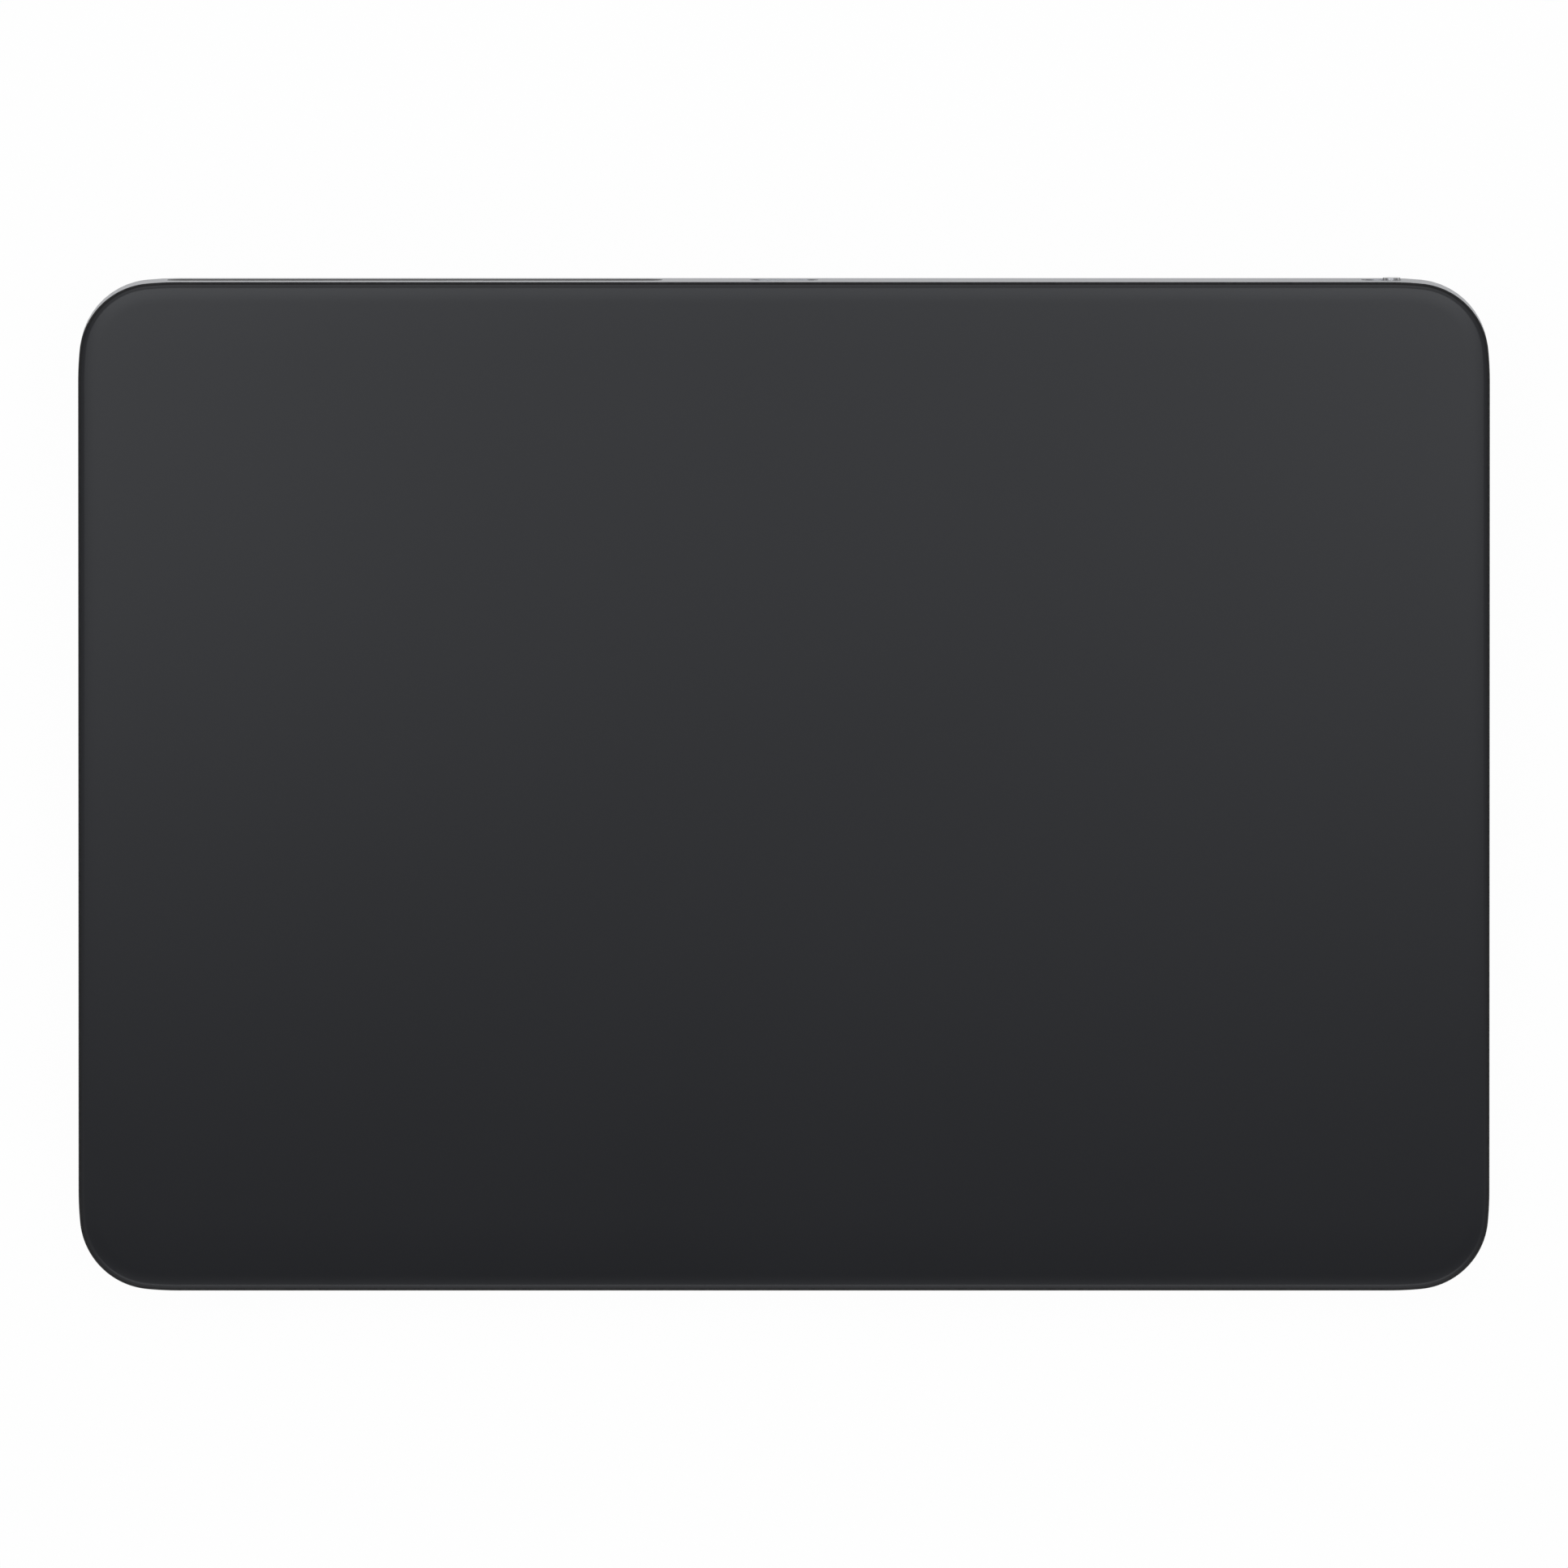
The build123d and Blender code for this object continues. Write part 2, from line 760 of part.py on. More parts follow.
def switch_knob():
    """The round knob in its recess, bevelled at its end, with a stem through the wall."""
    knob = extrude(Circle(knob_diameter / 2), knob_proud + recess_depth - knob_lift)
    knob = chamfer(knob.edges().sort_by(Axis.Z)[0], knob_edge_bevel)
    stem_length = knob_proud + wall_thickness + carriage_fit
    knob += Pos(0, 0, knob_proud) * extrude(Circle(stem_diameter / 2), stem_length - knob_proud)
    return in_rear_wall(knob, knob_centre, -knob_proud)


def switch_carriage():
    """The plate behind the wall that carries the knob and drives the switch."""
    plate = extrude(Rectangle(carriage_width, carriage_height), carriage_thickness)
    finger = extrude(Rectangle(finger_width, finger_height), finger_length)
    carriage = plate + Pos(0, 0, carriage_thickness) * finger
    return in_rear_wall(carriage, knob_centre, wall_thickness + carriage_fit)


def switch_body():
    """The slide switch: a small housing with a channel for the carriage's finger."""
    section = RectangleRounded(switch_body_width, switch_body_height, switch_body_round)
    body = extrude(section, switch_body_depth)
    channel_width = finger_width + knob_travel + 2 * finger_fit
    channel = Rectangle(channel_width, finger_height + 2 * finger_fit)
    middle = knob_centre - knob_travel / 2 - switch_body_centre
    body -= Pos(middle, 0) * extrude(channel, finger_length + finger_fit)
    return in_rear_wall(body, switch_body_centre, switch_body_start())


def switch_strap():
    """The strap that holds the slide switch on its seat."""
    band = strap(switch_body_width, switch_body_height)
    return in_rear_wall(band, switch_body_centre, switch_strap_depth())


def switch_screws():
    """The two screws of the slide switch's strap."""
    return strap_screws(switch_body_width, switch_body_height, switch_body_centre, switch_strap_depth())


# Battery


def battery_cell():
    """The flat pouch cell, flat below, with sloping edges where its upper foil is drawn."""
    cell = block(battery_width, battery_length, battery_thickness, corner_round=battery_corner_round)
    cell = chamfer(cell.faces().sort_by(Axis.Z)[-1].edges(), battery_edge_slope)
    return Pos(battery_centre_x, battery_centre_y, battery_bottom) * cell


def battery_glue():
    """Two strips of stretch adhesive between the cell and the floor."""
    reach = battery_width / 2 - glue_strip_inset
    length = battery_length - 2 * battery_corner_round
    strips = []
    for x in (battery_centre_x - reach, battery_centre_x + reach):
        strips.append(block(glue_strip_width, length, glue_thickness, x, battery_centre_y, floor_top))
    return Compound(strips)


def battery_guard_board():
    """The narrow protection board on the cell's right end."""
    x = battery_centre_x + battery_width / 2 + guard_board_width / 2
    size = (guard_board_width, guard_board_length, guard_board_height)
    return block(*size, x, guard_board_y, battery_bottom)


# Main board


def main_board():
    """The main board, on four posts."""
    blank = extrude(RectangleRounded(board_width, board_length, board_corner_round), board_thickness)
    board = Pos(board_centre_x, board_centre_y, board_bottom) * blank
    for x, y in board_screw_places():
        hole = small_disc(screw_shank + 2 * screw_fit)
        board -= Pos(x, y, board_bottom) * extrude(hole, board_thickness)
    return board


def board_screws():
    """The four screws of the main board."""
    return Compound([Pos(x, y, board_top) * screw() for x, y in board_screw_places()])


def shield_can():
    """The tinned can over the radio."""
    x = left_plug_x() + (connector_width + shield_width) / 2 + shield_gap_to_plugs
    y = board_centre_y + board_length / 5
    can = block(shield_width, shield_length, shield_height, x, y, board_top, shield_corner_round)
    inside = (shield_width - 2 * shield_wall, shield_length - 2 * shield_wall)
    return can - block(*inside, shield_height - shield_wall, x, y, board_top)


def control_chip():
    """The chip that reads the sensor board."""
    x = board_centre_x + board_width / 4
    y = board_centre_y - board_length / 3
    return block(control_chip_size, control_chip_size, control_chip_height, x, y, board_top)


def driver_chip():
    """The chip that drives the actuator."""
    x = board_centre_x - board_width / 8
    y = board_centre_y - board_length / 3
    return block(driver_chip_size, driver_chip_size, driver_chip_height, x, y, board_top)


def charger_chip():
    """The chip that charges the cell."""
    x = board_centre_x - board_width / 8
    y = board_centre_y - board_length / 8
    return block(charger_chip_size, charger_chip_size, charger_chip_height, x, y, board_top)


def left_plug_x():
    """The row of plugs along the board's left edge."""
    return board_left + 2 * connector_width


def rear_plug_y():
    """The row of plugs along the board's rear edge."""
    return board_rear - connector_width


def port_plug_x():
    """The plug of the charging port's ribbon."""
    return board_centre_x - board_width / 6


def switch_plug_x():
    """The plug of the switch's ribbon, straight in front of the switch's left end."""
    return switch_body_centre - (switch_body_width - switch_ribbon_width) / 2


def coax_socket_place():
    """The small round socket of the antenna lead."""
    return left_plug_x(), board_rear - coax_socket_setback


def ribbon_plugs():
    """Five alike plugs: actuator, battery, port, switch and touch sensor."""
    x, y = touch_ribbon_place()
    upright = [(left_plug_x(), yoke_centre_y), (left_plug_x(), guard_board_y)]
    lying = [(port_plug_x(), rear_plug_y()), (switch_plug_x(), rear_plug_y()), (x, y - connector_length)]
    plugs = []
    for place in upright:
        plugs.append(block(connector_width, connector_length, connector_height, *place, board_top))
    for place in lying:
        plugs.append(block(connector_length, connector_width, connector_height, *place, board_top))
    return Compound(plugs)


def coax_socket():
    """The round snap socket with the antenna lead's plug on it."""
    x, y = coax_socket_place()
    return Pos(x, y, board_top) * extrude(small_disc(coax_socket_diameter), coax_socket_height)


# Ribbons


def ribbon(points, width, plane):
    """A ribbon seen from the side: the line through its middle, with bent corners."""
    path = FilletPolyline(*points, radius=ribbon_bend) if len(points) > 2 else Line(*points)
    return extrude(plane * trace(path, ribbon_thickness), width / 2, both=True)


def ribbon_level():
    """The middle of a ribbon that lies on its plug on the main board."""
    return plug_top + ribbon_thickness / 2


def battery_ribbon():
    """From the protection board onto its plug."""
    edge = battery_centre_x + battery_width / 2
    guard_top = battery_bottom + guard_board_height + ribbon_thickness / 2
    points = [
        (edge, guard_top),
        (edge + guard_board_width, guard_top),
        (left_plug_x() - connector_width, ribbon_level()),
        (left_plug_x() + connector_width / 2, ribbon_level()),
    ]
    return Pos(0, guard_board_y, 0) * ribbon(points, ribbon_width, Plane.XZ)


def actuator_ribbon():
    """From the middle of the actuator's end, up a ramp, onto its plug."""
    level = core_bottom + ribbon_thickness / 2
    points = [
        (yoke_width / 2 - yoke_ear / 2, level),
        (yoke_width / 2 + yoke_ear, level),
        (board_left, ribbon_level()),
        (left_plug_x() + connector_width / 2, ribbon_level()),
    ]
    return Pos(0, yoke_centre_y, 0) * ribbon(points, ribbon_width, Plane.XZ)


def port_ribbon():
    """Flat, from the back of the socket, beside the battery, onto its plug."""
    back = rear_wall.from_local_coords((0, 0, port_recess + port_length))
    lane = battery_centre_y + battery_length / 2 + ribbon_width / 2 + ribbon_bend
    points = [
        (0, back.Y - ribbon_end_gap),
        (0, lane),
        (port_plug_x(), lane),
        (port_plug_x(), rear_plug_y() - connector_width / 2),
    ]
    path = FilletPolyline(*points, radius=ribbon_width / 2 + ribbon_bend)
    return Pos(0, 0, plug_top) * extrude(trace(path, ribbon_width), ribbon_thickness)


def switch_ribbon():
    """Straight from the back of the slide switch onto its plug."""
    back = rear_wall.from_local_coords((0, 0, switch_body_start() + switch_body_depth))
    start = back.Y - ribbon_end_gap
    length = start - rear_plug_y() + connector_width / 2
    return block(
        switch_ribbon_width, length, ribbon_thickness, switch_plug_x(), start - length / 2, plug_top
    )


def touch_ribbon():
    """From the sensor board, down through the stiffener's slot, onto its plug."""
    x, y = touch_ribbon_place()
    top = deck.from_local_coords((x, y, -stiffener_top))
    points = [
        (y - connector_length - connector_width / 2, ribbon_level()),
        (top.Y, ribbon_level()),
        (top.Y, top.Z - ribbon_thickness * sin(slope)),
    ]
    return Pos(x, 0, 0) * ribbon(points, touch_ribbon_width, Plane.YZ)


# Haptic actuator


def actuator_yoke():
    """The pressed plate that the magnet is riveted to, with four screwed ears."""
    sketch = Rectangle(yoke_width, yoke_depth)
    for x, y in yoke_screw_places():
        sketch += Pos(x, y - yoke_centre_y) * Rectangle(yoke_ear, yoke_ear)
    for x, y in yoke_screw_places():
        sketch -= Pos(x, y - yoke_centre_y) * small_disc(screw_shank + 2 * screw_fit)
    for side in (-1, 1):
        window = Rectangle(core_leg_width + 4 * winding_thickness, winding_length + 2 * winding_thickness)
        sketch -= Pos(side * leg_place(), winding_place() - yoke_centre_y) * window
    return Pos(0, yoke_centre_y, yoke_bottom) * extrude(sketch, yoke_thickness)


def leg_place():
    """How far each leg of the core stands from the middle."""
    return core_width / 2 - core_leg_width / 2


def winding_place():
    """Where the windings sit along the legs."""
    leg_length = core_depth - core_back
    return yoke_rear - leg_length / 2


def actuator_core():
    """The stack of laminations: a back and two legs whose ends are the poles."""
    back = Pos(0, core_back / 2) * Rectangle(core_width, core_back)
    sketch = back
    for side in (-1, 1):
        sketch += Pos(side * leg_place(), core_depth / 2) * Rectangle(core_leg_width, core_depth)
    return Pos(0, yoke_rear - core_depth, core_bottom) * extrude(sketch, core_thickness)


def actuator_coil(side):
    """One winding round one leg, its corners rounded by the wire's bend."""
    width = core_leg_width + 2 * winding_thickness
    height = core_thickness + 2 * winding_thickness
    outer = RectangleRounded(width, height, winding_round)
    ring = outer - Rectangle(core_leg_width, core_thickness)
    coil = extrude(Plane.XZ * ring, winding_length / 2, both=True)
    return Pos(side * leg_place(), winding_place(), core_bottom + core_thickness / 2) * coil


def yoke_screws():
    """The four screws of the actuator."""
    return Compound([Pos(x, y, core_bottom) * screw() for x, y in yoke_screw_places()])


nodes = {
    "enclosure": enclosure(),
    "antenna_window": antenna_window(),
    "antenna_carrier": antenna_carrier(),
    "antenna_trace": antenna_trace(),
    "antenna_coax": antenna_coax(),
    "port_shell": port_shell(),
    "port_insulator": port_insulator(),
    "port_contacts": port_contacts(),
    "port_strap": port_strap(),
    "port_screws": port_screws(),
    "port_ribbon": port_ribbon(),
    "switch_knob": switch_knob(),
    "switch_carriage": switch_carriage(),
    "switch_body": switch_body(),
    "switch_strap": switch_strap(),
    "switch_screws": switch_screws(),
    "switch_ribbon": switch_ribbon(),
    "battery_cell": battery_cell(),
    "battery_glue": battery_glue(),
    "battery_guard_board": battery_guard_board(),
    "battery_ribbon": battery_ribbon(),
    "main_board": main_board(),
    "board_screws": board_screws(),
    "shield_can": shield_can(),
    "control_chip": control_chip(),
    "driver_chip": driver_chip(),
    "charger_chip": charger_chip(),
    "ribbon_plugs": ribbon_plugs(),
    "coax_socket": coax_socket(),
    "actuator_yoke": actuator_yoke(),
    "actuator_core": actuator_core(),
    "actuator_coil_left": actuator_coil(-1),
    "actuator_coil_right": actuator_coil(1),
    "actuator_screws": yoke_screws(),
    "actuator_ribbon": actuator_ribbon(),
    "touch_ribbon": touch_ribbon(),
    "touch_glass": touch_glass(),
    "sensor_film": sensor_film(),
    "touch_sensor_board": touch_sensor_board(),
    "stiffener_plate": stiffener_plate(),
    "armature": armature(),
}
nodes.update(feet())
nodes.update(flexure_parts())

os.makedirs("parts", exist_ok=True)
for name, shape in nodes.items():
    export_step(shape, "parts/" + name + ".step")
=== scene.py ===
from math import asin, atan, cos, pi, radians, sin

import bmesh
import bpy
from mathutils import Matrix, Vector


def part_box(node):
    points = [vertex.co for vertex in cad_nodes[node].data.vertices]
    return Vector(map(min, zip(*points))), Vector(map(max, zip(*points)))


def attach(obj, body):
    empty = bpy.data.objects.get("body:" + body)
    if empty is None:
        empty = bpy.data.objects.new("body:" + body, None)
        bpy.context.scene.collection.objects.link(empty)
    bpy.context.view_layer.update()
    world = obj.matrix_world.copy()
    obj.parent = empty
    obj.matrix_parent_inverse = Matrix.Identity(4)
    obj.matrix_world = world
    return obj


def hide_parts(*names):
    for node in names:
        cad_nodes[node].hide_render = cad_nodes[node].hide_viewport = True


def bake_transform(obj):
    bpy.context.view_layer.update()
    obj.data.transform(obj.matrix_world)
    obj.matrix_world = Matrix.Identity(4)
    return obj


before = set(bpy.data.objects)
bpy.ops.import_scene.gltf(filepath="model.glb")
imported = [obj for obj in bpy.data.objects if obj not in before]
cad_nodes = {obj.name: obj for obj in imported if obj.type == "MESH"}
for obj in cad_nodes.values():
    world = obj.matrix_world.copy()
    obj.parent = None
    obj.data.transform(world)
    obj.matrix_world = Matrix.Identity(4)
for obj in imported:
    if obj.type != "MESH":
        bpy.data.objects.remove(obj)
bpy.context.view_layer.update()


# Enclosure. One wedge of aluminium, milled from the solid with its pocket, bosses and rear
# openings, then bead-blasted and anodised silver. It carries everything else.

def start_finish(name, colour, metal, rough):
    """A new finish with its plain colour, metalness and roughness set."""
    finish = bpy.data.materials.new(name)
    finish.use_nodes = True
    shader = finish.node_tree.nodes["Principled BSDF"]
    shader.inputs["Base Color"].default_value = (*colour, 1)
    shader.inputs["Metallic"].default_value = metal
    shader.inputs["Roughness"].default_value = rough
    return finish


def tool(finish, kind, **sockets):
    """One more node in a finish, with its unlinked sockets set."""
    node = finish.node_tree.nodes.new(kind)
    for socket, value in sockets.items():
        node.inputs[socket.replace("_", " ")].default_value = value
    return node


def join(finish, output, socket):
    finish.node_tree.links.new(output, socket)


def shader_of(finish):
    return finish.node_tree.nodes["Principled BSDF"]


def spread(finish, stretch=(1, 1, 1)):
    """The place on the piece, in metres, stretched where a finish has a direction."""
    place = tool(finish, "ShaderNodeTexCoord")
    scale = tool(finish, "ShaderNodeVectorMath")
    scale.operation = "MULTIPLY"
    scale.inputs[1].default_value = stretch
    join(finish, place.outputs["Object"], scale.inputs[0])
    return scale.outputs[0]


def speckle(finish, per_metre, detail=3.0, stretch=(1, 1, 1)):
    """Random mottling with so many blotches to the metre."""
    noise = tool(finish, "ShaderNodeTexNoise", Scale=per_metre, Detail=detail, Roughness=0.55)
    join(finish, spread(finish, stretch), noise.inputs["Vector"])
    return noise.outputs["Fac"]


def tint(finish, factor, low, high, start=0.3, end=0.7):
    """The colour drifts from low to high with a factor."""
    ramp = tool(finish, "ShaderNodeValToRGB")
    ramp.color_ramp.elements[0].position = start
    ramp.color_ramp.elements[1].position = end
    ramp.color_ramp.elements[0].color = (*low, 1)
    ramp.color_ramp.elements[1].color = (*high, 1)
    join(finish, factor, ramp.inputs["Fac"])
    join(finish, ramp.outputs["Color"], shader_of(finish).inputs["Base Color"])


def roughen(finish, factor, low, high):
    """The roughness drifts from low to high with a factor."""
    ends = {"From_Min": 0.3, "From_Max": 0.7, "To_Min": low, "To_Max": high}
    span = tool(finish, "ShaderNodeMapRange", **ends)
    join(finish, factor, span.inputs["Value"])
    join(finish, span.outputs["Result"], shader_of(finish).inputs["Roughness"])


def raise_grain(finish, factor, height, strength=1.0, under=None):
    """The surface rises with a factor by so many metres, over another grain if there is one."""
    bump = tool(finish, "ShaderNodeBump", Strength=strength, Distance=height)
    join(finish, factor, bump.inputs["Height"])
    if under is not None:
        join(finish, under, bump.inputs["Normal"])
    join(finish, bump.outputs["Normal"], shader_of(finish).inputs["Normal"])
    return bump.outputs["Normal"]


def dress(finish, *names):
    """Give a finish to CAD nodes that stay as they are."""
    for name in names:
        mesh = cad_nodes[name].data
        mesh.materials.clear()
        mesh.materials.append(finish)


silver = start_finish("bead_blasted_silver", (0.605, 0.612, 0.635), 1.0, 0.4)
shader_of(silver).inputs["Specular Tint"].default_value = (0.5, 0.5, 0.5, 1)
blotches = speckle(silver, 55, 2)
tint(silver, blotches, (0.59, 0.597, 0.62), (0.62, 0.627, 0.65))
roughen(silver, speckle(silver, 900, 4), 0.36, 0.45)
blast = raise_grain(silver, speckle(silver, 9000, 2), 0.000004)
raise_grain(silver, speckle(silver, 420, 3), 0.000003, 0.6, blast)
dress(silver, "enclosure")


# Antenna window. A strip of glass-filled plastic moulded with a flange, let in flush from
# inside, with a fine spark-eroded grain so that it matches the blasted metal beside it.

window_plastic = start_finish("window_plastic", (0.03, 0.03, 0.033), 0.0, 0.62)
shader_of(window_plastic).inputs["Specular IOR Level"].default_value = 0.15
tint(window_plastic, speckle(window_plastic, 700), (0.024, 0.024, 0.027), (0.037, 0.037, 0.04))
roughen(window_plastic, speckle(window_plastic, 1500, 4), 0.56, 0.68)
raise_grain(window_plastic, speckle(window_plastic, 11000, 3), 0.000006)
dress(window_plastic, "antenna_window")


# Antenna. A moulded bar behind the window carries a stamped copper element on its top, and a
# thin coaxial lead with a round snap plug runs from it to the main board.

carrier_plastic = start_finish("carrier_plastic", (0.05, 0.05, 0.05), 0.0, 0.5)
tint(carrier_plastic, speckle(carrier_plastic, 500), (0.04, 0.04, 0.042), (0.065, 0.063, 0.06))
roughen(carrier_plastic, speckle(carrier_plastic, 2500, 3), 0.4, 0.6)
raise_grain(carrier_plastic, speckle(carrier_plastic, 7000, 2, (1, 4, 4)), 0.00001)
dress(carrier_plastic, "antenna_carrier")

bare_copper = start_finish("bare_copper", (0.72, 0.41, 0.25), 1.0, 0.32)
tint(bare_copper, speckle(bare_copper, 900, 4), (0.6, 0.3, 0.17), (0.8, 0.48, 0.31))
roughen(bare_copper, speckle(bare_copper, 1800, 3, (1, 8, 8)), 0.24, 0.42)
raise_grain(bare_copper, speckle(bare_copper, 5000, 3, (1, 12, 12)), 0.000005)
dress(bare_copper, "antenna_trace")

lead_sheath = start_finish("lead_sheath", (0.08, 0.08, 0.08), 0.0, 0.38)
tint(lead_sheath, speckle(lead_sheath, 350), (0.065, 0.065, 0.066), (0.1, 0.098, 0.095))
roughen(lead_sheath, speckle(lead_sheath, 1400), 0.3, 0.46)
raise_grain(lead_sheath, speckle(lead_sheath, 6000, 2), 0.000006)
dress(lead_sheath, "antenna_coax")


# Charging port. A drawn steel shell stands a little inside the wall, lined with moulded black
# plastic whose flat mouth has eight gold-plated contacts on its floor.

def brushed(name, colour, rough, per_metre, stretch, height=0.000004):
    """Metal with fine lines along one direction."""
    finish = start_finish(name, colour, 1.0, rough)
    lines = speckle(finish, per_metre, 4, stretch)
    low = tuple(c * 0.86 for c in colour)
    high = tuple(min(1, c * 1.1) for c in colour)
    tint(finish, speckle(finish, per_metre / 12, 2), low, high)
    roughen(finish, lines, rough - 0.08, rough + 0.1)
    raise_grain(finish, lines, height)
    return finish


drawn_steel = brushed("drawn_steel", (0.6, 0.6, 0.6), 0.26, 900, (14, 1, 14))
dress(drawn_steel, "port_shell")

liner_plastic = start_finish("liner_plastic", (0.02, 0.02, 0.02), 0.0, 0.45)
tint(liner_plastic, speckle(liner_plastic, 1200), (0.015, 0.015, 0.015), (0.028, 0.028, 0.028))
roughen(liner_plastic, speckle(liner_plastic, 2600), 0.38, 0.54)
raise_grain(liner_plastic, speckle(liner_plastic, 9000, 3), 0.000005)
dress(liner_plastic, "port_insulator")

gold_plate = start_finish("gold_plate", (0.83, 0.65, 0.3), 1.0, 0.24)
tint(gold_plate, speckle(gold_plate, 1400, 4), (0.74, 0.55, 0.22), (0.9, 0.72, 0.38))
roughen(gold_plate, speckle(gold_plate, 3000, 3, (6, 1, 6)), 0.18, 0.32)
raise_grain(gold_plate, speckle(gold_plate, 8000, 2), 0.000003)
dress(gold_plate, "port_contacts", "coax_socket")


# Straps, flexures and plates of rolled spring steel, blanked and bent, with faint mill lines
# along the strip. A flexure is screwed down at its anchor and bends in its neck under a press.
# The screws of all places are one family, blackened, with turned heads.

mm = 0.001
anchor_length = 8.0
neck_length = 5.0
bend_cuts = 8
weld_distance = 0.001
corner_names = ("front_left", "front_right", "rear_left", "rear_right")


def neck_of(corner):
    """Where a flexure's neck leaves its screwed anchor, and where it meets its pad."""
    low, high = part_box("force_flexure_" + corner)
    outer, inward = (low.x, mm) if low.x < 0 else (high.x, -mm)
    start = Vector((outer + inward * anchor_length, (low.y + high.y) / 2, (low.z + high.z) / 2))
    return start, start + Vector((inward * neck_length, 0, 0))


def bending(node, finish, slot, fixed, moving, start, end):
    """A copy of a CAD solid, cut across its run at even steps from start to end, in place of the
    solid.
    """
    name = "bending_" + node
    solid = bmesh.new()
    solid.from_mesh(cad_nodes[node].data)
    bmesh.ops.remove_doubles(solid, verts=solid.verts, dist=weld_distance * mm)
    for cut in range(bend_cuts + 1):
        whole = solid.verts[:] + solid.edges[:] + solid.faces[:]
        place = start.lerp(end, cut / bend_cuts)
        bmesh.ops.bisect_plane(solid, geom=whole, plane_co=place, plane_no=end - start)
    mesh = bpy.data.meshes.new(name)
    solid.to_mesh(mesh)
    solid.free()
    mesh.materials.clear()
    mesh.materials.append(finish)
    piece = bpy.data.objects.new(name, mesh)
    bpy.context.collection.objects.link(piece)
    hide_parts(node)
    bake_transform(piece)


rolled_steel = brushed("rolled_steel", (0.58, 0.58, 0.58), 0.34, 420, (1, 16, 16))
dress(rolled_steel, "port_strap", "switch_strap", "actuator_yoke", "stiffener_plate")
for corner in corner_names:
    flexure = "force_flexure_" + corner
    bending(flexure, rolled_steel, "sheet_steel", "enclosure", "press_stage", *neck_of(corner))

black_steel = start_finish("blackened_steel", (0.3, 0.3, 0.3), 1.0, 0.36)
tint(black_steel, speckle(black_steel, 1500, 4), (0.2, 0.2, 0.205), (0.36, 0.355, 0.35))
roughen(black_steel, speckle(black_steel, 3500), 0.28, 0.46)
raise_grain(black_steel, speckle(black_steel, 7000, 2), 0.000006)
dress(black_steel, "port_screws", "switch_screws", "board_screws")
dress(black_steel, "actuator_screws", "flexure_screws")


# Power switch. A round aluminium knob, turned with a shallow dish in its end and polished,
# slides in a recess of the rear wall. Its stem carries a moulded plate behind the wall.

deck_length = 114.54
wall_foot = 1.9
front_height = 4.9
rear_height = 10.9
slope = asin((rear_height - front_height) / deck_length)
glass_roll_reach = 2.35
glass_crown_width = 8.0
glass_crown_drop = 0.15
crown_fall = glass_crown_drop * (1 - glass_roll_reach / glass_crown_width) ** 2
wall_lean = (rear_height - wall_foot) * sin(slope)
deck_middle = (front_height + rear_height) / 2 + glass_roll_reach * sin(slope) + crown_fall
rear_row_height = 5.55


def on_deck(x, y, z):
    """A point given across, up and above the sloping top, in metres of the shared frame."""
    return Vector(
        (
            x * mm,
            (y * cos(slope) - z * sin(slope) - wall_lean / 2) * mm,
            (y * sin(slope) + z * cos(slope) + deck_middle) * mm,
        )
    )


def in_rear_wall(x, inward, up):
    """A point given across the rear wall, inward from its face and up from the row's line."""
    edge = deck_middle + deck_length / 2 * sin(slope)
    row = (edge - rear_row_height) / cos(slope)
    return on_deck(x, deck_length / 2 - inward, up - row)


def make_piece(name, points, faces, finish, sharp=35):
    """A new piece from points and faces, smooth but for edges sharper than an angle."""
    mesh = bpy.data.meshes.new(name)
    mesh.from_pydata(points, [], faces)
    mesh.materials.append(finish)
    shaped = bmesh.new()
    shaped.from_mesh(mesh)
    bmesh.ops.recalc_face_normals(shaped, faces=shaped.faces)
    shaped.to_mesh(mesh)
    shaped.free()
    mesh.shade_smooth()
    mesh.set_sharp_from_angle(angle=radians(sharp))
    piece = bpy.data.objects.new(name, mesh)
    bpy.context.scene.collection.objects.link(piece)
    return piece


def turned(name, profile, place, finish, sides=96):
    """A piece turned from a profile of (along, radius), set down by a place function."""
    points = []
    faces = []
    for along, radius in profile[1:-1]:
        for i in range(sides):
            angle = 2 * pi * i / sides
            points.append(place(radius * cos(angle), radius * sin(angle), along))
    rings = len(profile) - 2
    for ring in range(rings - 1):
        for i in range(sides):
            a = ring * sides + i
            b = ring * sides + (i + 1) % sides
            faces.append((a, b, b + sides, a + sides))
    points.append(place(0, 0, profile[0][0]))
    points.append(place(0, 0, profile[-1][0]))
    for i in range(sides):
        faces.append((rings * sides, (i + 1) % sides, i))
        last = (rings - 1) * sides
        faces.append((rings * sides + 1, last + i, last + (i + 1) % sides))
    return make_piece(name, points, faces, finish)


knob_low, knob_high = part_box("switch_knob")
knob_centre = (knob_low.x + knob_high.x) / 2 / mm
knob_radius = (knob_high.x - knob_low.x) / 2 / mm
knob_proud = 0.26
knob_base = 0.68
knob_bevel = 0.05
stem_radius = 0.55
stem_end = 1.9
knob_dish = 0.05
knob_rim = 0.97
dish_steps = 8
edge_steps = 6
end_face_turn = 0.7

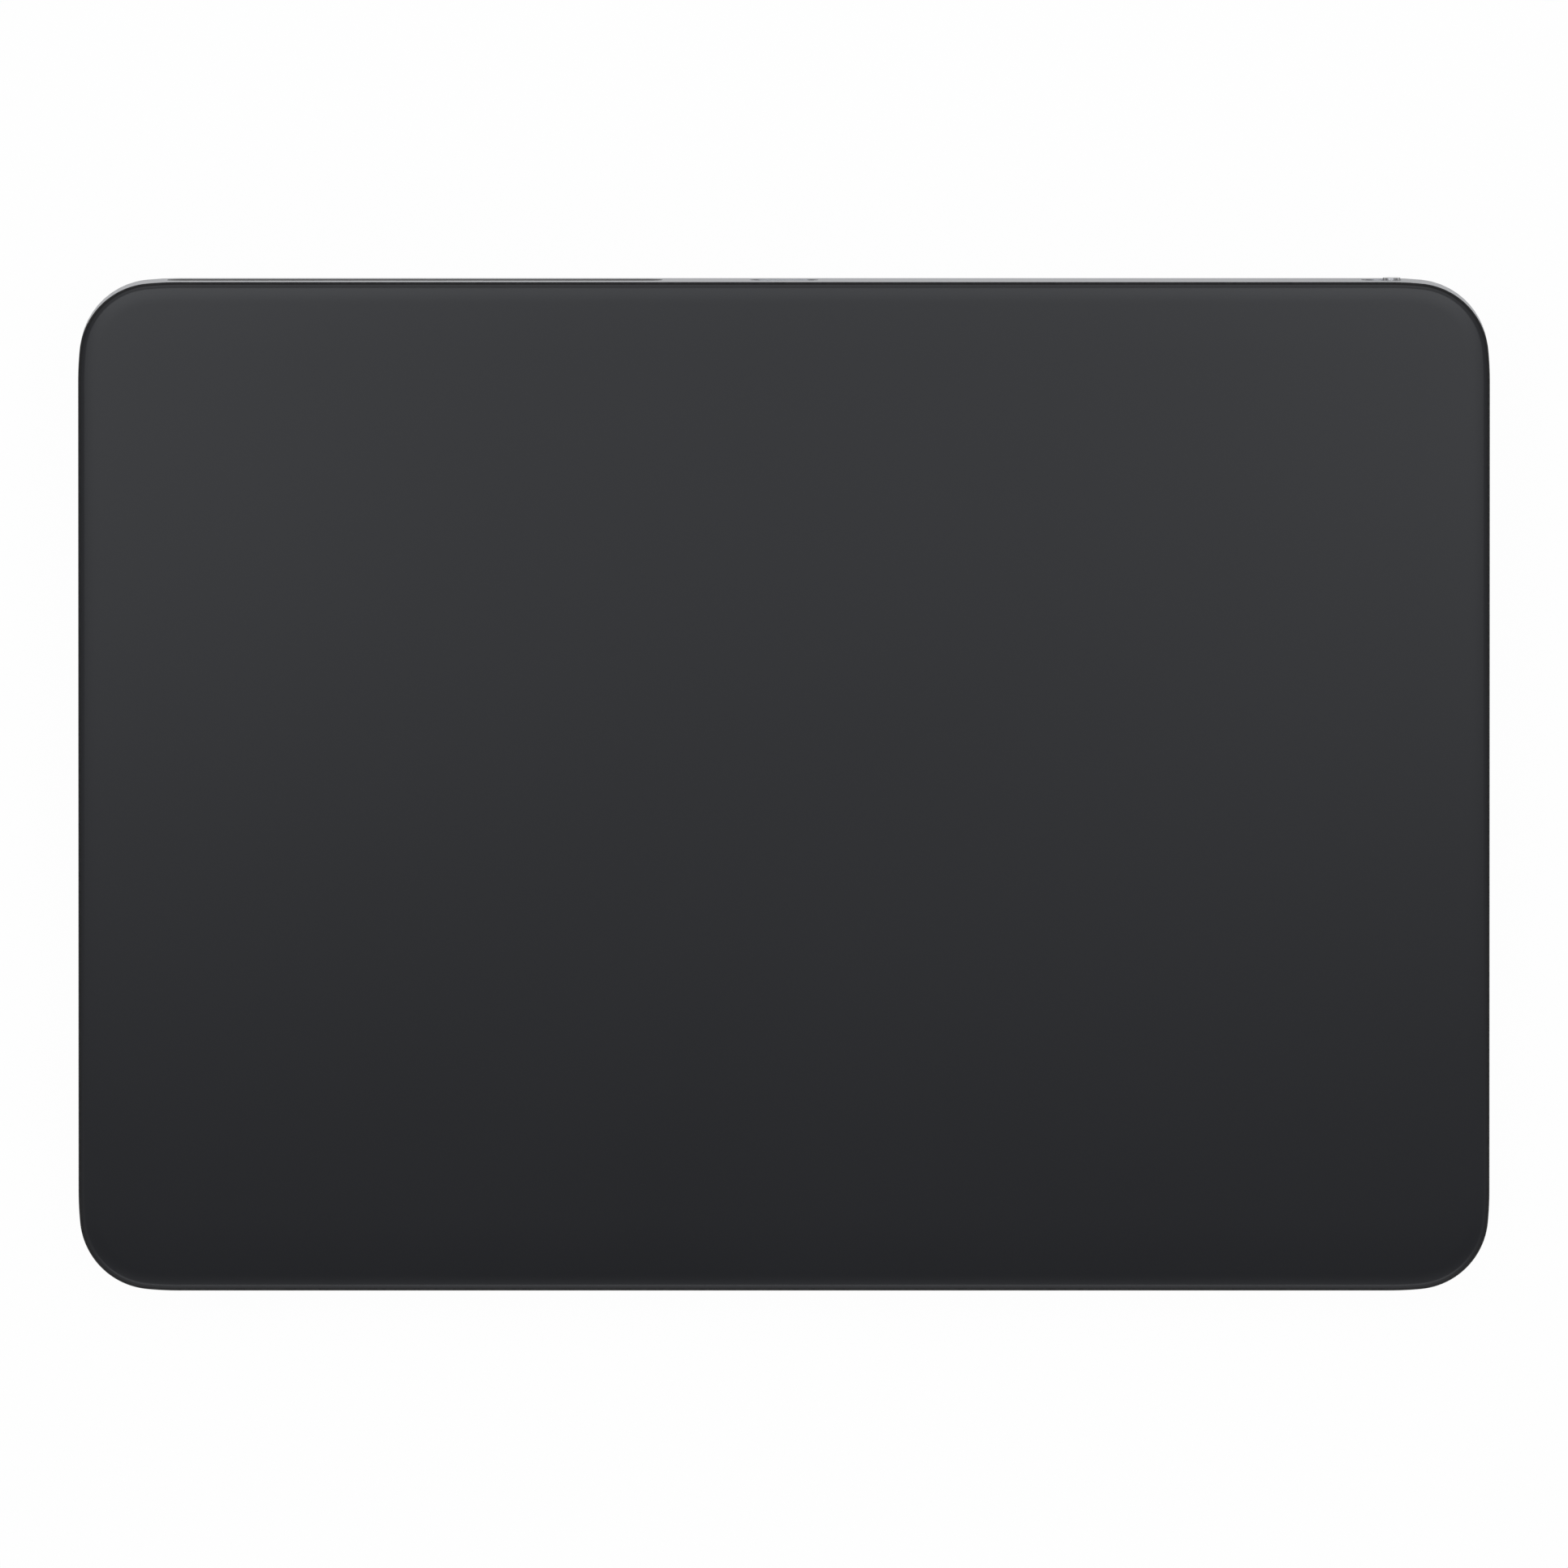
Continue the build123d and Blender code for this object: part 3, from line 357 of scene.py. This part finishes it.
knob_profile = [(knob_dish - knob_proud, 0)]
for step in range(1, dish_steps + 1):
    share = step / dish_steps
    knob_profile.append((knob_dish * (1 - share**2) - knob_proud, share * knob_rim * knob_radius))
knob_edge = (1 - knob_rim) * knob_radius
for step in range(1, edge_steps + 1):
    turn = pi / 2 * step / edge_steps
    along = knob_edge * (1 - cos(turn)) - knob_proud
    knob_profile.append((along, knob_radius - knob_edge * (1 - sin(turn))))
knob_profile += [(knob_base - knob_bevel, knob_radius), (knob_base, knob_radius - knob_bevel)]
knob_profile += [(knob_base, stem_radius), (stem_end, stem_radius), (stem_end, 0)]


def knob_place(x, up, inward):
    return in_rear_wall(knob_centre + x, inward, up)


polish = start_finish("polished_knob", (0.5, 0.5, 0.51), 1.0, 0.2)
tint(polish, speckle(polish, 800, 3), (0.46, 0.46, 0.47), (0.54, 0.54, 0.55))
roughen(polish, speckle(polish, 3000, 3, (1, 20, 1)), 0.16, 0.26)
raise_grain(polish, speckle(polish, 6000, 2, (1, 30, 1)), 0.0000004)

# The knob's sides get a satin finish whose edge tint is nearly black: painted shade that darkens
# the flanks where they are seen at a glance.
satin_and_painted_shade = brushed("satin_knob_side_painted_shade", (0.52, 0.52, 0.53), 0.3, 1200, (1, 20, 1), 0.000002)
shader_of(satin_and_painted_shade).inputs["Specular Tint"].default_value = (0.05, 0.05, 0.05, 1)

knob = turned("power_switch_knob", knob_profile, knob_place, polish)
knob.data.materials.append(satin_and_painted_shade)
# Faces turned away from the end take the satin finish with its painted shade.
for face in knob.data.polygons:
    if abs(face.normal.y) < end_face_turn:
        face.material_index = 1
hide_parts("switch_knob")
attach(knob, "switch_slider")

switch_plastic = start_finish("switch_plastic", (0.04, 0.04, 0.04), 0.0, 0.46)
tint(switch_plastic, speckle(switch_plastic, 900), (0.03, 0.03, 0.031), (0.052, 0.05, 0.048))
roughen(switch_plastic, speckle(switch_plastic, 2200), 0.38, 0.56)
raise_grain(switch_plastic, speckle(switch_plastic, 8000, 3), 0.000006)
dress(switch_plastic, "switch_carriage", "switch_body")


# Battery. A flat lithium cell in a drawn pouch of laminated foil, creased a little at its
# edges, held down by two strips of stretch glue, with a narrow guard board on its end.

pouch_foil = start_finish("pouch_foil", (0.12, 0.12, 0.13), 0.35, 0.42)
tint(pouch_foil, speckle(pouch_foil, 140, 4), (0.095, 0.095, 0.105), (0.15, 0.15, 0.16))
roughen(pouch_foil, speckle(pouch_foil, 600, 4), 0.32, 0.55)
fine = raise_grain(pouch_foil, speckle(pouch_foil, 2600, 3), 0.000012)
raise_grain(pouch_foil, speckle(pouch_foil, 110, 4, (1, 3, 1)), 0.00012, 0.5, fine)
dress(pouch_foil, "battery_cell")

clear_glue = start_finish("clear_glue", (0.75, 0.75, 0.72), 0.0, 0.3)
shader_of(clear_glue).inputs["Transmission Weight"].default_value = 0.35
shader_of(clear_glue).inputs["IOR"].default_value = 1.46
tint(clear_glue, speckle(clear_glue, 260, 4), (0.68, 0.68, 0.63), (0.8, 0.8, 0.78))
roughen(clear_glue, speckle(clear_glue, 500), 0.22, 0.4)
raise_grain(clear_glue, speckle(clear_glue, 700, 3), 0.00002)
dress(clear_glue, "battery_glue", "sensor_film")


# Boards. The main board on its four posts, the guard board and the sensor board under the
# glass are laminated glass cloth with a dark green mask over etched copper runs.

mask_green = start_finish("solder_mask", (0.02, 0.07, 0.04), 0.0, 0.32)
run_form = {"Mortar_Size": 0.06, "Mortar_Smooth": 0.2, "Brick_Width": 2.6, "Row_Height": 0.5}
runs = tool(mask_green, "ShaderNodeTexBrick", Scale=420.0, **run_form)
runs.offset = 0.37
runs.inputs["Color1"].default_value = (0.015, 0.055, 0.03, 1)
runs.inputs["Color2"].default_value = (0.02, 0.07, 0.04, 1)
runs.inputs["Mortar"].default_value = (0.05, 0.15, 0.07, 1)
join(mask_green, spread(mask_green), runs.inputs["Vector"])
join(mask_green, runs.outputs["Color"], shader_of(mask_green).inputs["Base Color"])
roughen(mask_green, speckle(mask_green, 1300), 0.25, 0.4)
weave = raise_grain(mask_green, speckle(mask_green, 4000, 2), 0.000008)
raise_grain(mask_green, runs.outputs["Fac"], 0.00002, 1, weave)
dress(mask_green, "main_board", "battery_guard_board", "touch_sensor_board")


# Radio shield, chips, plugs and sockets of the main board. The can is tinned sheet with a
# satin reflow bloom. Chips and plugs are black resin with a fine moulded grain.

tinned = start_finish("tinned_sheet", (0.7, 0.7, 0.68), 1.0, 0.3)
bloom = tool(tinned, "ShaderNodeTexVoronoi", Scale=700.0)
join(tinned, spread(tinned), bloom.inputs["Vector"])
tint(tinned, bloom.outputs["Distance"], (0.62, 0.62, 0.6), (0.76, 0.76, 0.74), 0.1, 0.8)
roughen(tinned, speckle(tinned, 1100, 3), 0.22, 0.42)
raise_grain(tinned, speckle(tinned, 2400, 3), 0.000008)
dress(tinned, "shield_can")

resin = start_finish("moulded_resin", (0.03, 0.03, 0.03), 0.0, 0.55)
tint(resin, speckle(resin, 1600), (0.022, 0.022, 0.023), (0.042, 0.041, 0.04))
roughen(resin, speckle(resin, 3000), 0.45, 0.66)
raise_grain(resin, speckle(resin, 9500, 3), 0.00001)
dress(resin, "control_chip", "driver_chip", "charger_chip", "ribbon_plugs")


# Ribbons and strain gauges. Amber film bonded over flat copper tracks, whose lines show
# through along the strip. The gauges bend with the necks that they are glued to.

amber_film = start_finish("amber_film", (0.35, 0.16, 0.03), 0.0, 0.28)
shader_of(amber_film).inputs["Coat Weight"].default_value = 0.4
shader_of(amber_film).inputs["Coat Roughness"].default_value = 0.15
tracks = tool(amber_film, "ShaderNodeTexWave", Scale=260.0, Distortion=0.4, Detail=1.0)
tracks.bands_direction = "DIAGONAL"
join(amber_film, spread(amber_film), tracks.inputs["Vector"])
tint(amber_film, tracks.outputs["Fac"], (0.24, 0.1, 0.02), (0.46, 0.23, 0.06), 0.35, 0.65)
roughen(amber_film, speckle(amber_film, 1200), 0.22, 0.38)
raise_grain(amber_film, tracks.outputs["Fac"], 0.00001)
dress(amber_film, "battery_ribbon", "actuator_ribbon", "port_ribbon", "switch_ribbon")
for corner in corner_names:
    gauge = "strain_gauge_" + corner
    bending(gauge, amber_film, "ribbon_film", "enclosure", "press_stage", *neck_of(corner))

ribbon_low, ribbon_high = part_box("touch_ribbon")
ribbon_fold = 0.4
ribbon_tail = 0.1
ribbon_climb = ribbon_high.z - ribbon_low.z - ribbon_tail * mm
ends = [ribbon_low + Vector((0, 0, up)) for up in (ribbon_fold * mm, ribbon_climb)]
bending("touch_ribbon", amber_film, "ribbon_film", "enclosure", "press_stage", *ends)


# Haptic actuator. A pressed yoke carries a core of stacked laminations with two windings of
# lacquered copper wire, and the armature that it pulls hangs from the touch plate.

stacked_iron = start_finish("stacked_iron", (0.35, 0.35, 0.36), 1.0, 0.4)
sheets = tool(stacked_iron, "ShaderNodeTexWave", Scale=1600.0, Distortion=0.3)
sheets.bands_direction = "Z"
join(stacked_iron, spread(stacked_iron), sheets.inputs["Vector"])
tint(stacked_iron, sheets.outputs["Fac"], (0.22, 0.22, 0.225), (0.42, 0.42, 0.43), 0.2, 0.8)
roughen(stacked_iron, speckle(stacked_iron, 1500), 0.32, 0.52)
raise_grain(stacked_iron, sheets.outputs["Fac"], 0.00002)
dress(stacked_iron, "actuator_core", "armature")

wound_wire = start_finish("wound_wire", (0.62, 0.27, 0.13), 1.0, 0.3)
turns = tool(wound_wire, "ShaderNodeTexWave", Scale=1900.0, Distortion=0.15)
turns.bands_direction = "Y"
join(wound_wire, spread(wound_wire), turns.inputs["Vector"])
tint(wound_wire, turns.outputs["Fac"], (0.3, 0.11, 0.05), (0.72, 0.36, 0.19), 0.15, 0.6)
roughen(wound_wire, speckle(wound_wire, 2000), 0.22, 0.38)
raise_grain(wound_wire, turns.outputs["Fac"], 0.00006)
dress(wound_wire, "actuator_coil_left", "actuator_coil_right")


# Gel pads. Four soft discs of poured gel between the flexures and the stiffener, slightly
# cloudy, which let the touch plate shift sideways.

cloudy_gel = start_finish("cloudy_gel", (0.2, 0.2, 0.22), 0.0, 0.35)
shader_of(cloudy_gel).inputs["Subsurface Weight"].default_value = 0.3
shader_of(cloudy_gel).inputs["Subsurface Radius"].default_value = (0.001, 0.001, 0.001)
shader_of(cloudy_gel).inputs["Subsurface Scale"].default_value = 1.0
tint(cloudy_gel, speckle(cloudy_gel, 400, 4), (0.16, 0.16, 0.18), (0.25, 0.25, 0.27))
roughen(cloudy_gel, speckle(cloudy_gel, 900), 0.28, 0.45)
raise_grain(cloudy_gel, speckle(cloudy_gel, 1500, 3), 0.00001)
gel_half_height = 0.36
gel_reach = Vector((0, -sin(slope), cos(slope))) * gel_half_height * mm
for corner in corner_names:
    gel = "gel_pad_" + corner
    low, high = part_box(gel)
    middle = (low + high) / 2
    ends = (middle - gel_reach, middle + gel_reach)
    bending(gel, cloudy_gel, "gel", "press_stage", "touch_plate", *ends)


# Feet. Four soft grey silicone discs glued into round recesses of the floor, moulded with a
# rolled edge and a very shallow crown, scuffed where they meet the desk.

foot_rubber = start_finish("foot_rubber", (0.5, 0.5, 0.5), 0.0, 0.7)
scuff = speckle(foot_rubber, 650, 5)
tint(foot_rubber, scuff, (0.4, 0.4, 0.4), (0.54, 0.54, 0.54))
roughen(foot_rubber, scuff, 0.6, 0.82)
raise_grain(foot_rubber, speckle(foot_rubber, 5200, 4), 0.000012)

foot_height = 1.1
foot_radius = 4.0
foot_edge = 0.25
foot_corner = 0.02


def foot_profile():
    """From the desk up: a flat face, a rolled edge and a straight side."""
    profile = [(0, 0), (0, foot_radius / 2), (0, foot_radius - foot_edge - foot_corner)]
    for step in range(edge_steps + 1):
        turn = pi / 2 * step / edge_steps
        profile.append((foot_edge * (1 - cos(turn)), foot_radius - foot_edge * (1 - sin(turn))))
    return profile + [(foot_height, foot_radius), (foot_height, 0)]


for corner in corner_names:
    low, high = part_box("foot_" + corner)
    middle = (low + high) / 2

    def foot_place(x, y, up, middle=middle):
        return Vector((middle.x + x * mm, middle.y + y * mm, up * mm))

    foot = turned("rubber_foot_" + corner, foot_profile(), foot_place, foot_rubber)
    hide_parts("foot_" + corner)
    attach(foot, "enclosure")


# Touch surface. One sheet of glass over the whole plan, its rim ground to a long soft roll and
# a tight round. The top is etched to a silky matt and the back is printed black.

overall_width = 160.0
corner_radius = 8.4
easing_radius = 38.0
easing_angle = radians(5.5)
easing_steps = 8
corner_steps = 40
glass_thickness = 1.0
glass_roll_drop = 0.2
glass_rim_round = 0.85
glass_rim_turn = radians(62)
glass_sink = 0.005
lower_round = ((0.02, 0.12), (0, 0.2))
back_bevel = 0.06
back_margin = 0.6
crown_steps = 8
roll_steps = 16
round_steps = 10
ground_from_ring = 2 + crown_steps + roll_steps + round_steps // 2


def plan_ring(inset):
    """The plan drawn in by an inset, as one ring of points in millimetres."""
    slack = easing_radius - inset
    tight = corner_radius - inset
    centre = slack * (1 - cos(easing_angle)) + tight * cos(easing_angle)
    reach = centre + (slack - tight) * sin(easing_angle)
    halves = (overall_width / 2 - inset, deck_length / 2 - inset)
    ring = []
    for quarter in range(4):
        a, b = halves if quarter % 2 == 0 else halves[::-1]
        arcs = (
            (a - slack, b - reach, slack, 0, easing_angle, easing_steps),
            (a - centre, b - centre, tight, easing_angle, pi / 2 - easing_angle, corner_steps),
            (a - reach, b - slack, slack, pi / 2 - easing_angle, pi / 2, easing_steps),
        )
        for part, (x, y, radius, start, end, steps) in enumerate(arcs):
            for i in range(1 if part else 0, steps + 1):
                angle = start + (end - start) * i / steps
                point = (x + radius * cos(angle), y + radius * sin(angle))
                for _ in range(quarter):
                    point = (-point[1], point[0])
                ring.append(point)
    return ring


def rim_drop(inset):
    """How far the glass has fallen away at an inset: a wide slack crown, then the roll."""
    crown = glass_crown_drop * max(1 - inset / glass_crown_width, 0) ** 2
    return crown + glass_roll_drop * max(1 - inset / glass_roll_reach, 0) ** 2


def glass_profile():
    """Pairs of inset and drop, from the flat outward and down to the back."""
    crown_slope = 2 * glass_crown_drop / glass_crown_width
    end_slope = atan(crown_slope + 2 * glass_roll_drop / glass_roll_reach)
    round_reach = glass_rim_round * (1 - sin(end_slope))
    insets = [(glass_crown_width + corner_radius) / 2, glass_crown_width]
    crown_reach = glass_crown_width - glass_roll_reach
    for step in range(1, crown_steps + 1):
        insets.append(glass_crown_width - crown_reach * step / crown_steps)
    for step in range(1, roll_steps + 1):
        insets.append(glass_roll_reach - (glass_roll_reach - round_reach) * step / roll_steps)
    profile = [(inset, rim_drop(inset) + glass_sink) for inset in insets]
    end_drop = profile[-1][1]
    for step in range(1, round_steps + 1):
        turn = end_slope + (glass_rim_turn - end_slope) * step / round_steps
        sunk = glass_rim_round * (cos(end_slope) - cos(turn))
        profile.append((glass_rim_round * (1 - sin(turn)), end_drop + sunk))
    last_drop = profile[-1][1]
    profile += [(inset, last_drop + further) for inset, further in lower_round]
    profile += [(0, glass_thickness - back_bevel), (back_bevel, glass_thickness)]
    return profile + [(back_margin, glass_thickness)]


glass_points = []
glass_faces = []
for inset, drop in glass_profile():
    glass_points += [on_deck(x, y, -drop) for x, y in plan_ring(inset)]
around = len(plan_ring(0))
rings = len(glass_profile())
for ring in range(rings - 1):
    for i in range(around):
        a = ring * around + i
        b = ring * around + (i + 1) % around
        glass_faces.append((a, b, b + around, a + around))
glass_faces.append(tuple(range(around)))
glass_faces.append(tuple(range((rings - 1) * around, rings * around)))

etched_glass = start_finish("etched_black_glass", (0.0054, 0.006, 0.0082), 0.0, 0.3)
shader_of(etched_glass).inputs["IOR"].default_value = 1.5
tint(etched_glass, speckle(etched_glass, 30, 2), (0.005, 0.0056, 0.0077), (0.0058, 0.0064, 0.0087))
roughen(etched_glass, speckle(etched_glass, 42, 3), 0.295, 0.305)
raise_grain(etched_glass, speckle(etched_glass, 14000, 2), 0.000001)
ground_edge = start_finish("ground_black_edge", (0.006, 0.006, 0.007), 0.0, 0.6)
shader_of(ground_edge).inputs["Specular IOR Level"].default_value = 0.17
tint(ground_edge, speckle(ground_edge, 800), (0.005, 0.005, 0.006), (0.009, 0.009, 0.01))
roughen(ground_edge, speckle(ground_edge, 2000), 0.5, 0.68)
raise_grain(ground_edge, speckle(ground_edge, 9000, 2), 0.000003)

glass = make_piece("touch_surface_glass", glass_points, glass_faces, etched_glass, 60)
glass.data.materials.append(ground_edge)
for face in glass.data.polygons:
    if ground_from_ring * around <= face.index < len(glass_faces) - 2:
        face.material_index = 1
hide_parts("touch_glass")
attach(glass, "touch_plate")


# Desk. A plain white sheet under the pad, whose far side can be seen through from below.

desk_finish = bpy.data.materials.new("white_desk")
desk_finish.use_nodes = True
desk_finish.node_tree.nodes.clear()
desk_out = tool(desk_finish, "ShaderNodeOutputMaterial")
seen = tool(desk_finish, "ShaderNodeLightPath")
side = tool(desk_finish, "ShaderNodeNewGeometry")
lit = tool(desk_finish, "ShaderNodeBsdfDiffuse", Color=(0.9, 0.9, 0.9, 1))
glow = tool(desk_finish, "ShaderNodeEmission", Color=(1, 1, 1, 1))
clear = tool(desk_finish, "ShaderNodeBsdfTransparent")


def larger(first, second):
    """The larger of two factors."""
    most = tool(desk_finish, "ShaderNodeMath")
    most.operation = "MAXIMUM"
    join(desk_finish, first, most.inputs[0])
    join(desk_finish, second, most.inputs[1])
    return most.outputs[0]


def mixed(first, second, share=0.5, factor=None):
    """A first shader with a second one over it, by a plain share or by a factor."""
    mix = tool(desk_finish, "ShaderNodeMixShader", Fac=share)
    join(desk_finish, first.outputs[0], mix.inputs[1])
    join(desk_finish, second.outputs[0], mix.inputs[2])
    if factor is not None:
        join(desk_finish, factor, mix.inputs["Fac"])
    return mix


straight_or_mirrored = larger(seen.outputs["Is Camera Ray"], seen.outputs["Is Glossy Ray"])
looked_at = larger(straight_or_mirrored, seen.outputs["Is Transmission Ray"])
either = mixed(lit, mixed(lit, glow, share=0.97), factor=looked_at)
sheet = mixed(either, clear, factor=side.outputs["Backfacing"])
join(desk_finish, sheet.outputs[0], desk_out.inputs["Surface"])

desk_reach = 3
desk_mesh = bpy.data.meshes.new("desk_sheet")
desk_corners = [(-desk_reach, -desk_reach, 0), (desk_reach, -desk_reach, 0)]
desk_corners += [(desk_reach, desk_reach, 0), (-desk_reach, desk_reach, 0)]
desk_mesh.from_pydata(desk_corners, [], [(0, 1, 2, 3)])
desk_mesh.materials.append(desk_finish)
desk = bpy.data.objects.new("desk_sheet", desk_mesh)
bpy.context.scene.collection.objects.link(desk)


# Light. A white studio, bright halfway up, dimmer overhead and to the sides and a little
# brighter behind. Soft panels hang over the pad, stronger to the rear and at both sides, and a
# card in front draws the bright line along the front roll.

studio = bpy.data.worlds.new("studio")
bpy.context.scene.world = studio
studio.use_nodes = True
sky_nodes = studio.node_tree.nodes
sky_links = studio.node_tree.links
sky_nodes.clear()
sky_out = sky_nodes.new("ShaderNodeOutputWorld")
surround = sky_nodes.new("ShaderNodeBackground")
white = sky_nodes.new("ShaderNodeBackground")
white.inputs["Color"].default_value = (1, 1, 1, 1)
ray = sky_nodes.new("ShaderNodeLightPath")
choose = sky_nodes.new("ShaderNodeMixShader")
toward = sky_nodes.new("ShaderNodeTexCoord")
parts = sky_nodes.new("ShaderNodeSeparateXYZ")
sideways = sky_nodes.new("ShaderNodeMath")
sideways.operation = "ABSOLUTE"
sky_links.new(toward.outputs["Generated"], parts.inputs[0])
sky_links.new(parts.outputs["X"], sideways.inputs[0])


def glow_along(direction, stops, cast=(1, 1, 1)):
    """How bright the sky is along a direction, from stops of (reach, glow)."""
    ramp = sky_nodes.new("ShaderNodeValToRGB")
    for reach, _ in stops[1:-1]:
        ramp.color_ramp.elements.new(reach)
    for stop, (reach, glow_there) in zip(ramp.color_ramp.elements, stops):
        stop.position = reach
        stop.color = (*(glow_there * part for part in cast), 1)
    sky_links.new(direction, ramp.inputs["Fac"])
    return ramp.outputs["Color"]


def times(first, second):
    """The product of two glows."""
    product = sky_nodes.new("ShaderNodeMix")
    product.data_type = "RGBA"
    product.blend_type = "MULTIPLY"
    product.inputs["Factor"].default_value = 1
    sky_links.new(first, product.inputs[6])
    sky_links.new(second, product.inputs[7])
    return product.outputs[2]


pale_blue = (0.99, 0.995, 1.02)
to_the_side = glow_along(sideways.outputs[0], ((0.15, 1), (0.95, 0.5)))
by_height = ((0.25, 0.55), (0.62, 0.95), (0.85, 0.5), (0.96, 0.12))
upward = glow_along(parts.outputs["Z"], by_height, pale_blue)
by_depth = ((0.3, 1), (0.5, 1.15), (0.82, 1.25), (0.97, 1.4))
rearward = glow_along(parts.outputs["Y"], by_depth)
sky_links.new(times(times(to_the_side, upward), rearward), surround.inputs["Color"])
sky_links.new(ray.outputs["Is Camera Ray"], choose.inputs["Fac"])
sky_links.new(surround.outputs[0], choose.inputs[1])
sky_links.new(white.outputs[0], choose.inputs[2])
sky_links.new(choose.outputs[0], sky_out.inputs["Surface"])


def panel(name, along, depth, strength, across=0, width=0.5):
    """A soft panel over the desk, facing down, that the camera doesn't see."""
    lamp = bpy.data.lights.new(name, "AREA")
    lamp.shape = "RECTANGLE"
    lamp.size = width
    lamp.size_y = depth
    lamp.energy = strength * pi * width * depth
    lamp.color = panel_tint
    holder = bpy.data.objects.new(name, lamp)
    bpy.context.scene.collection.objects.link(holder)
    holder.location = (across, along, panel_height)
    holder.visible_camera = False


panel_height = 0.3
panel_tint = (0.97, 0.995, 1.03)
panel_third = 0.12
for where, across, gain in (("left", -0.12, 1.36), ("centre", 0, 0.89), ("right", 0.12, 1.36)):
    third = {"across": across, "width": panel_third}
    panel("rear_" + where + "_panel", along=0.125, depth=0.1, strength=1.56 * gain, **third)
    panel("middle_" + where + "_panel", along=0.025, depth=0.1, strength=0.9 * gain, **third)
panel("fore_panel", along=-0.05, depth=0.05, strength=0.4)
panel("front_card", along=-0.278, depth=0.084, strength=1.5)


# Camera. A long lens almost straight above the middle of the pad, a touch behind it, so that
# the thin band of the leaning rear wall shows as it does in the photograph.

view_width = 0.17774
lens_length = 1650.0
sensor_width = 36.0
camera_tilt = radians(0.48)
aim = Vector((0, 0.0001, 0.008))

eye = bpy.data.cameras.new("long_lens")
eye.lens = lens_length
eye.sensor_width = sensor_width
eye.clip_start = 0.1
eye.clip_end = 20
camera = bpy.data.objects.new("long_lens", eye)
bpy.context.scene.collection.objects.link(camera)
away = view_width * lens_length / sensor_width
camera.location = aim + Vector((0, sin(camera_tilt), cos(camera_tilt))) * away
camera.rotation_euler = (-camera_tilt, 0, 0)
bpy.context.scene.camera = camera

settings = bpy.context.scene.view_settings
settings.view_transform = "Standard"
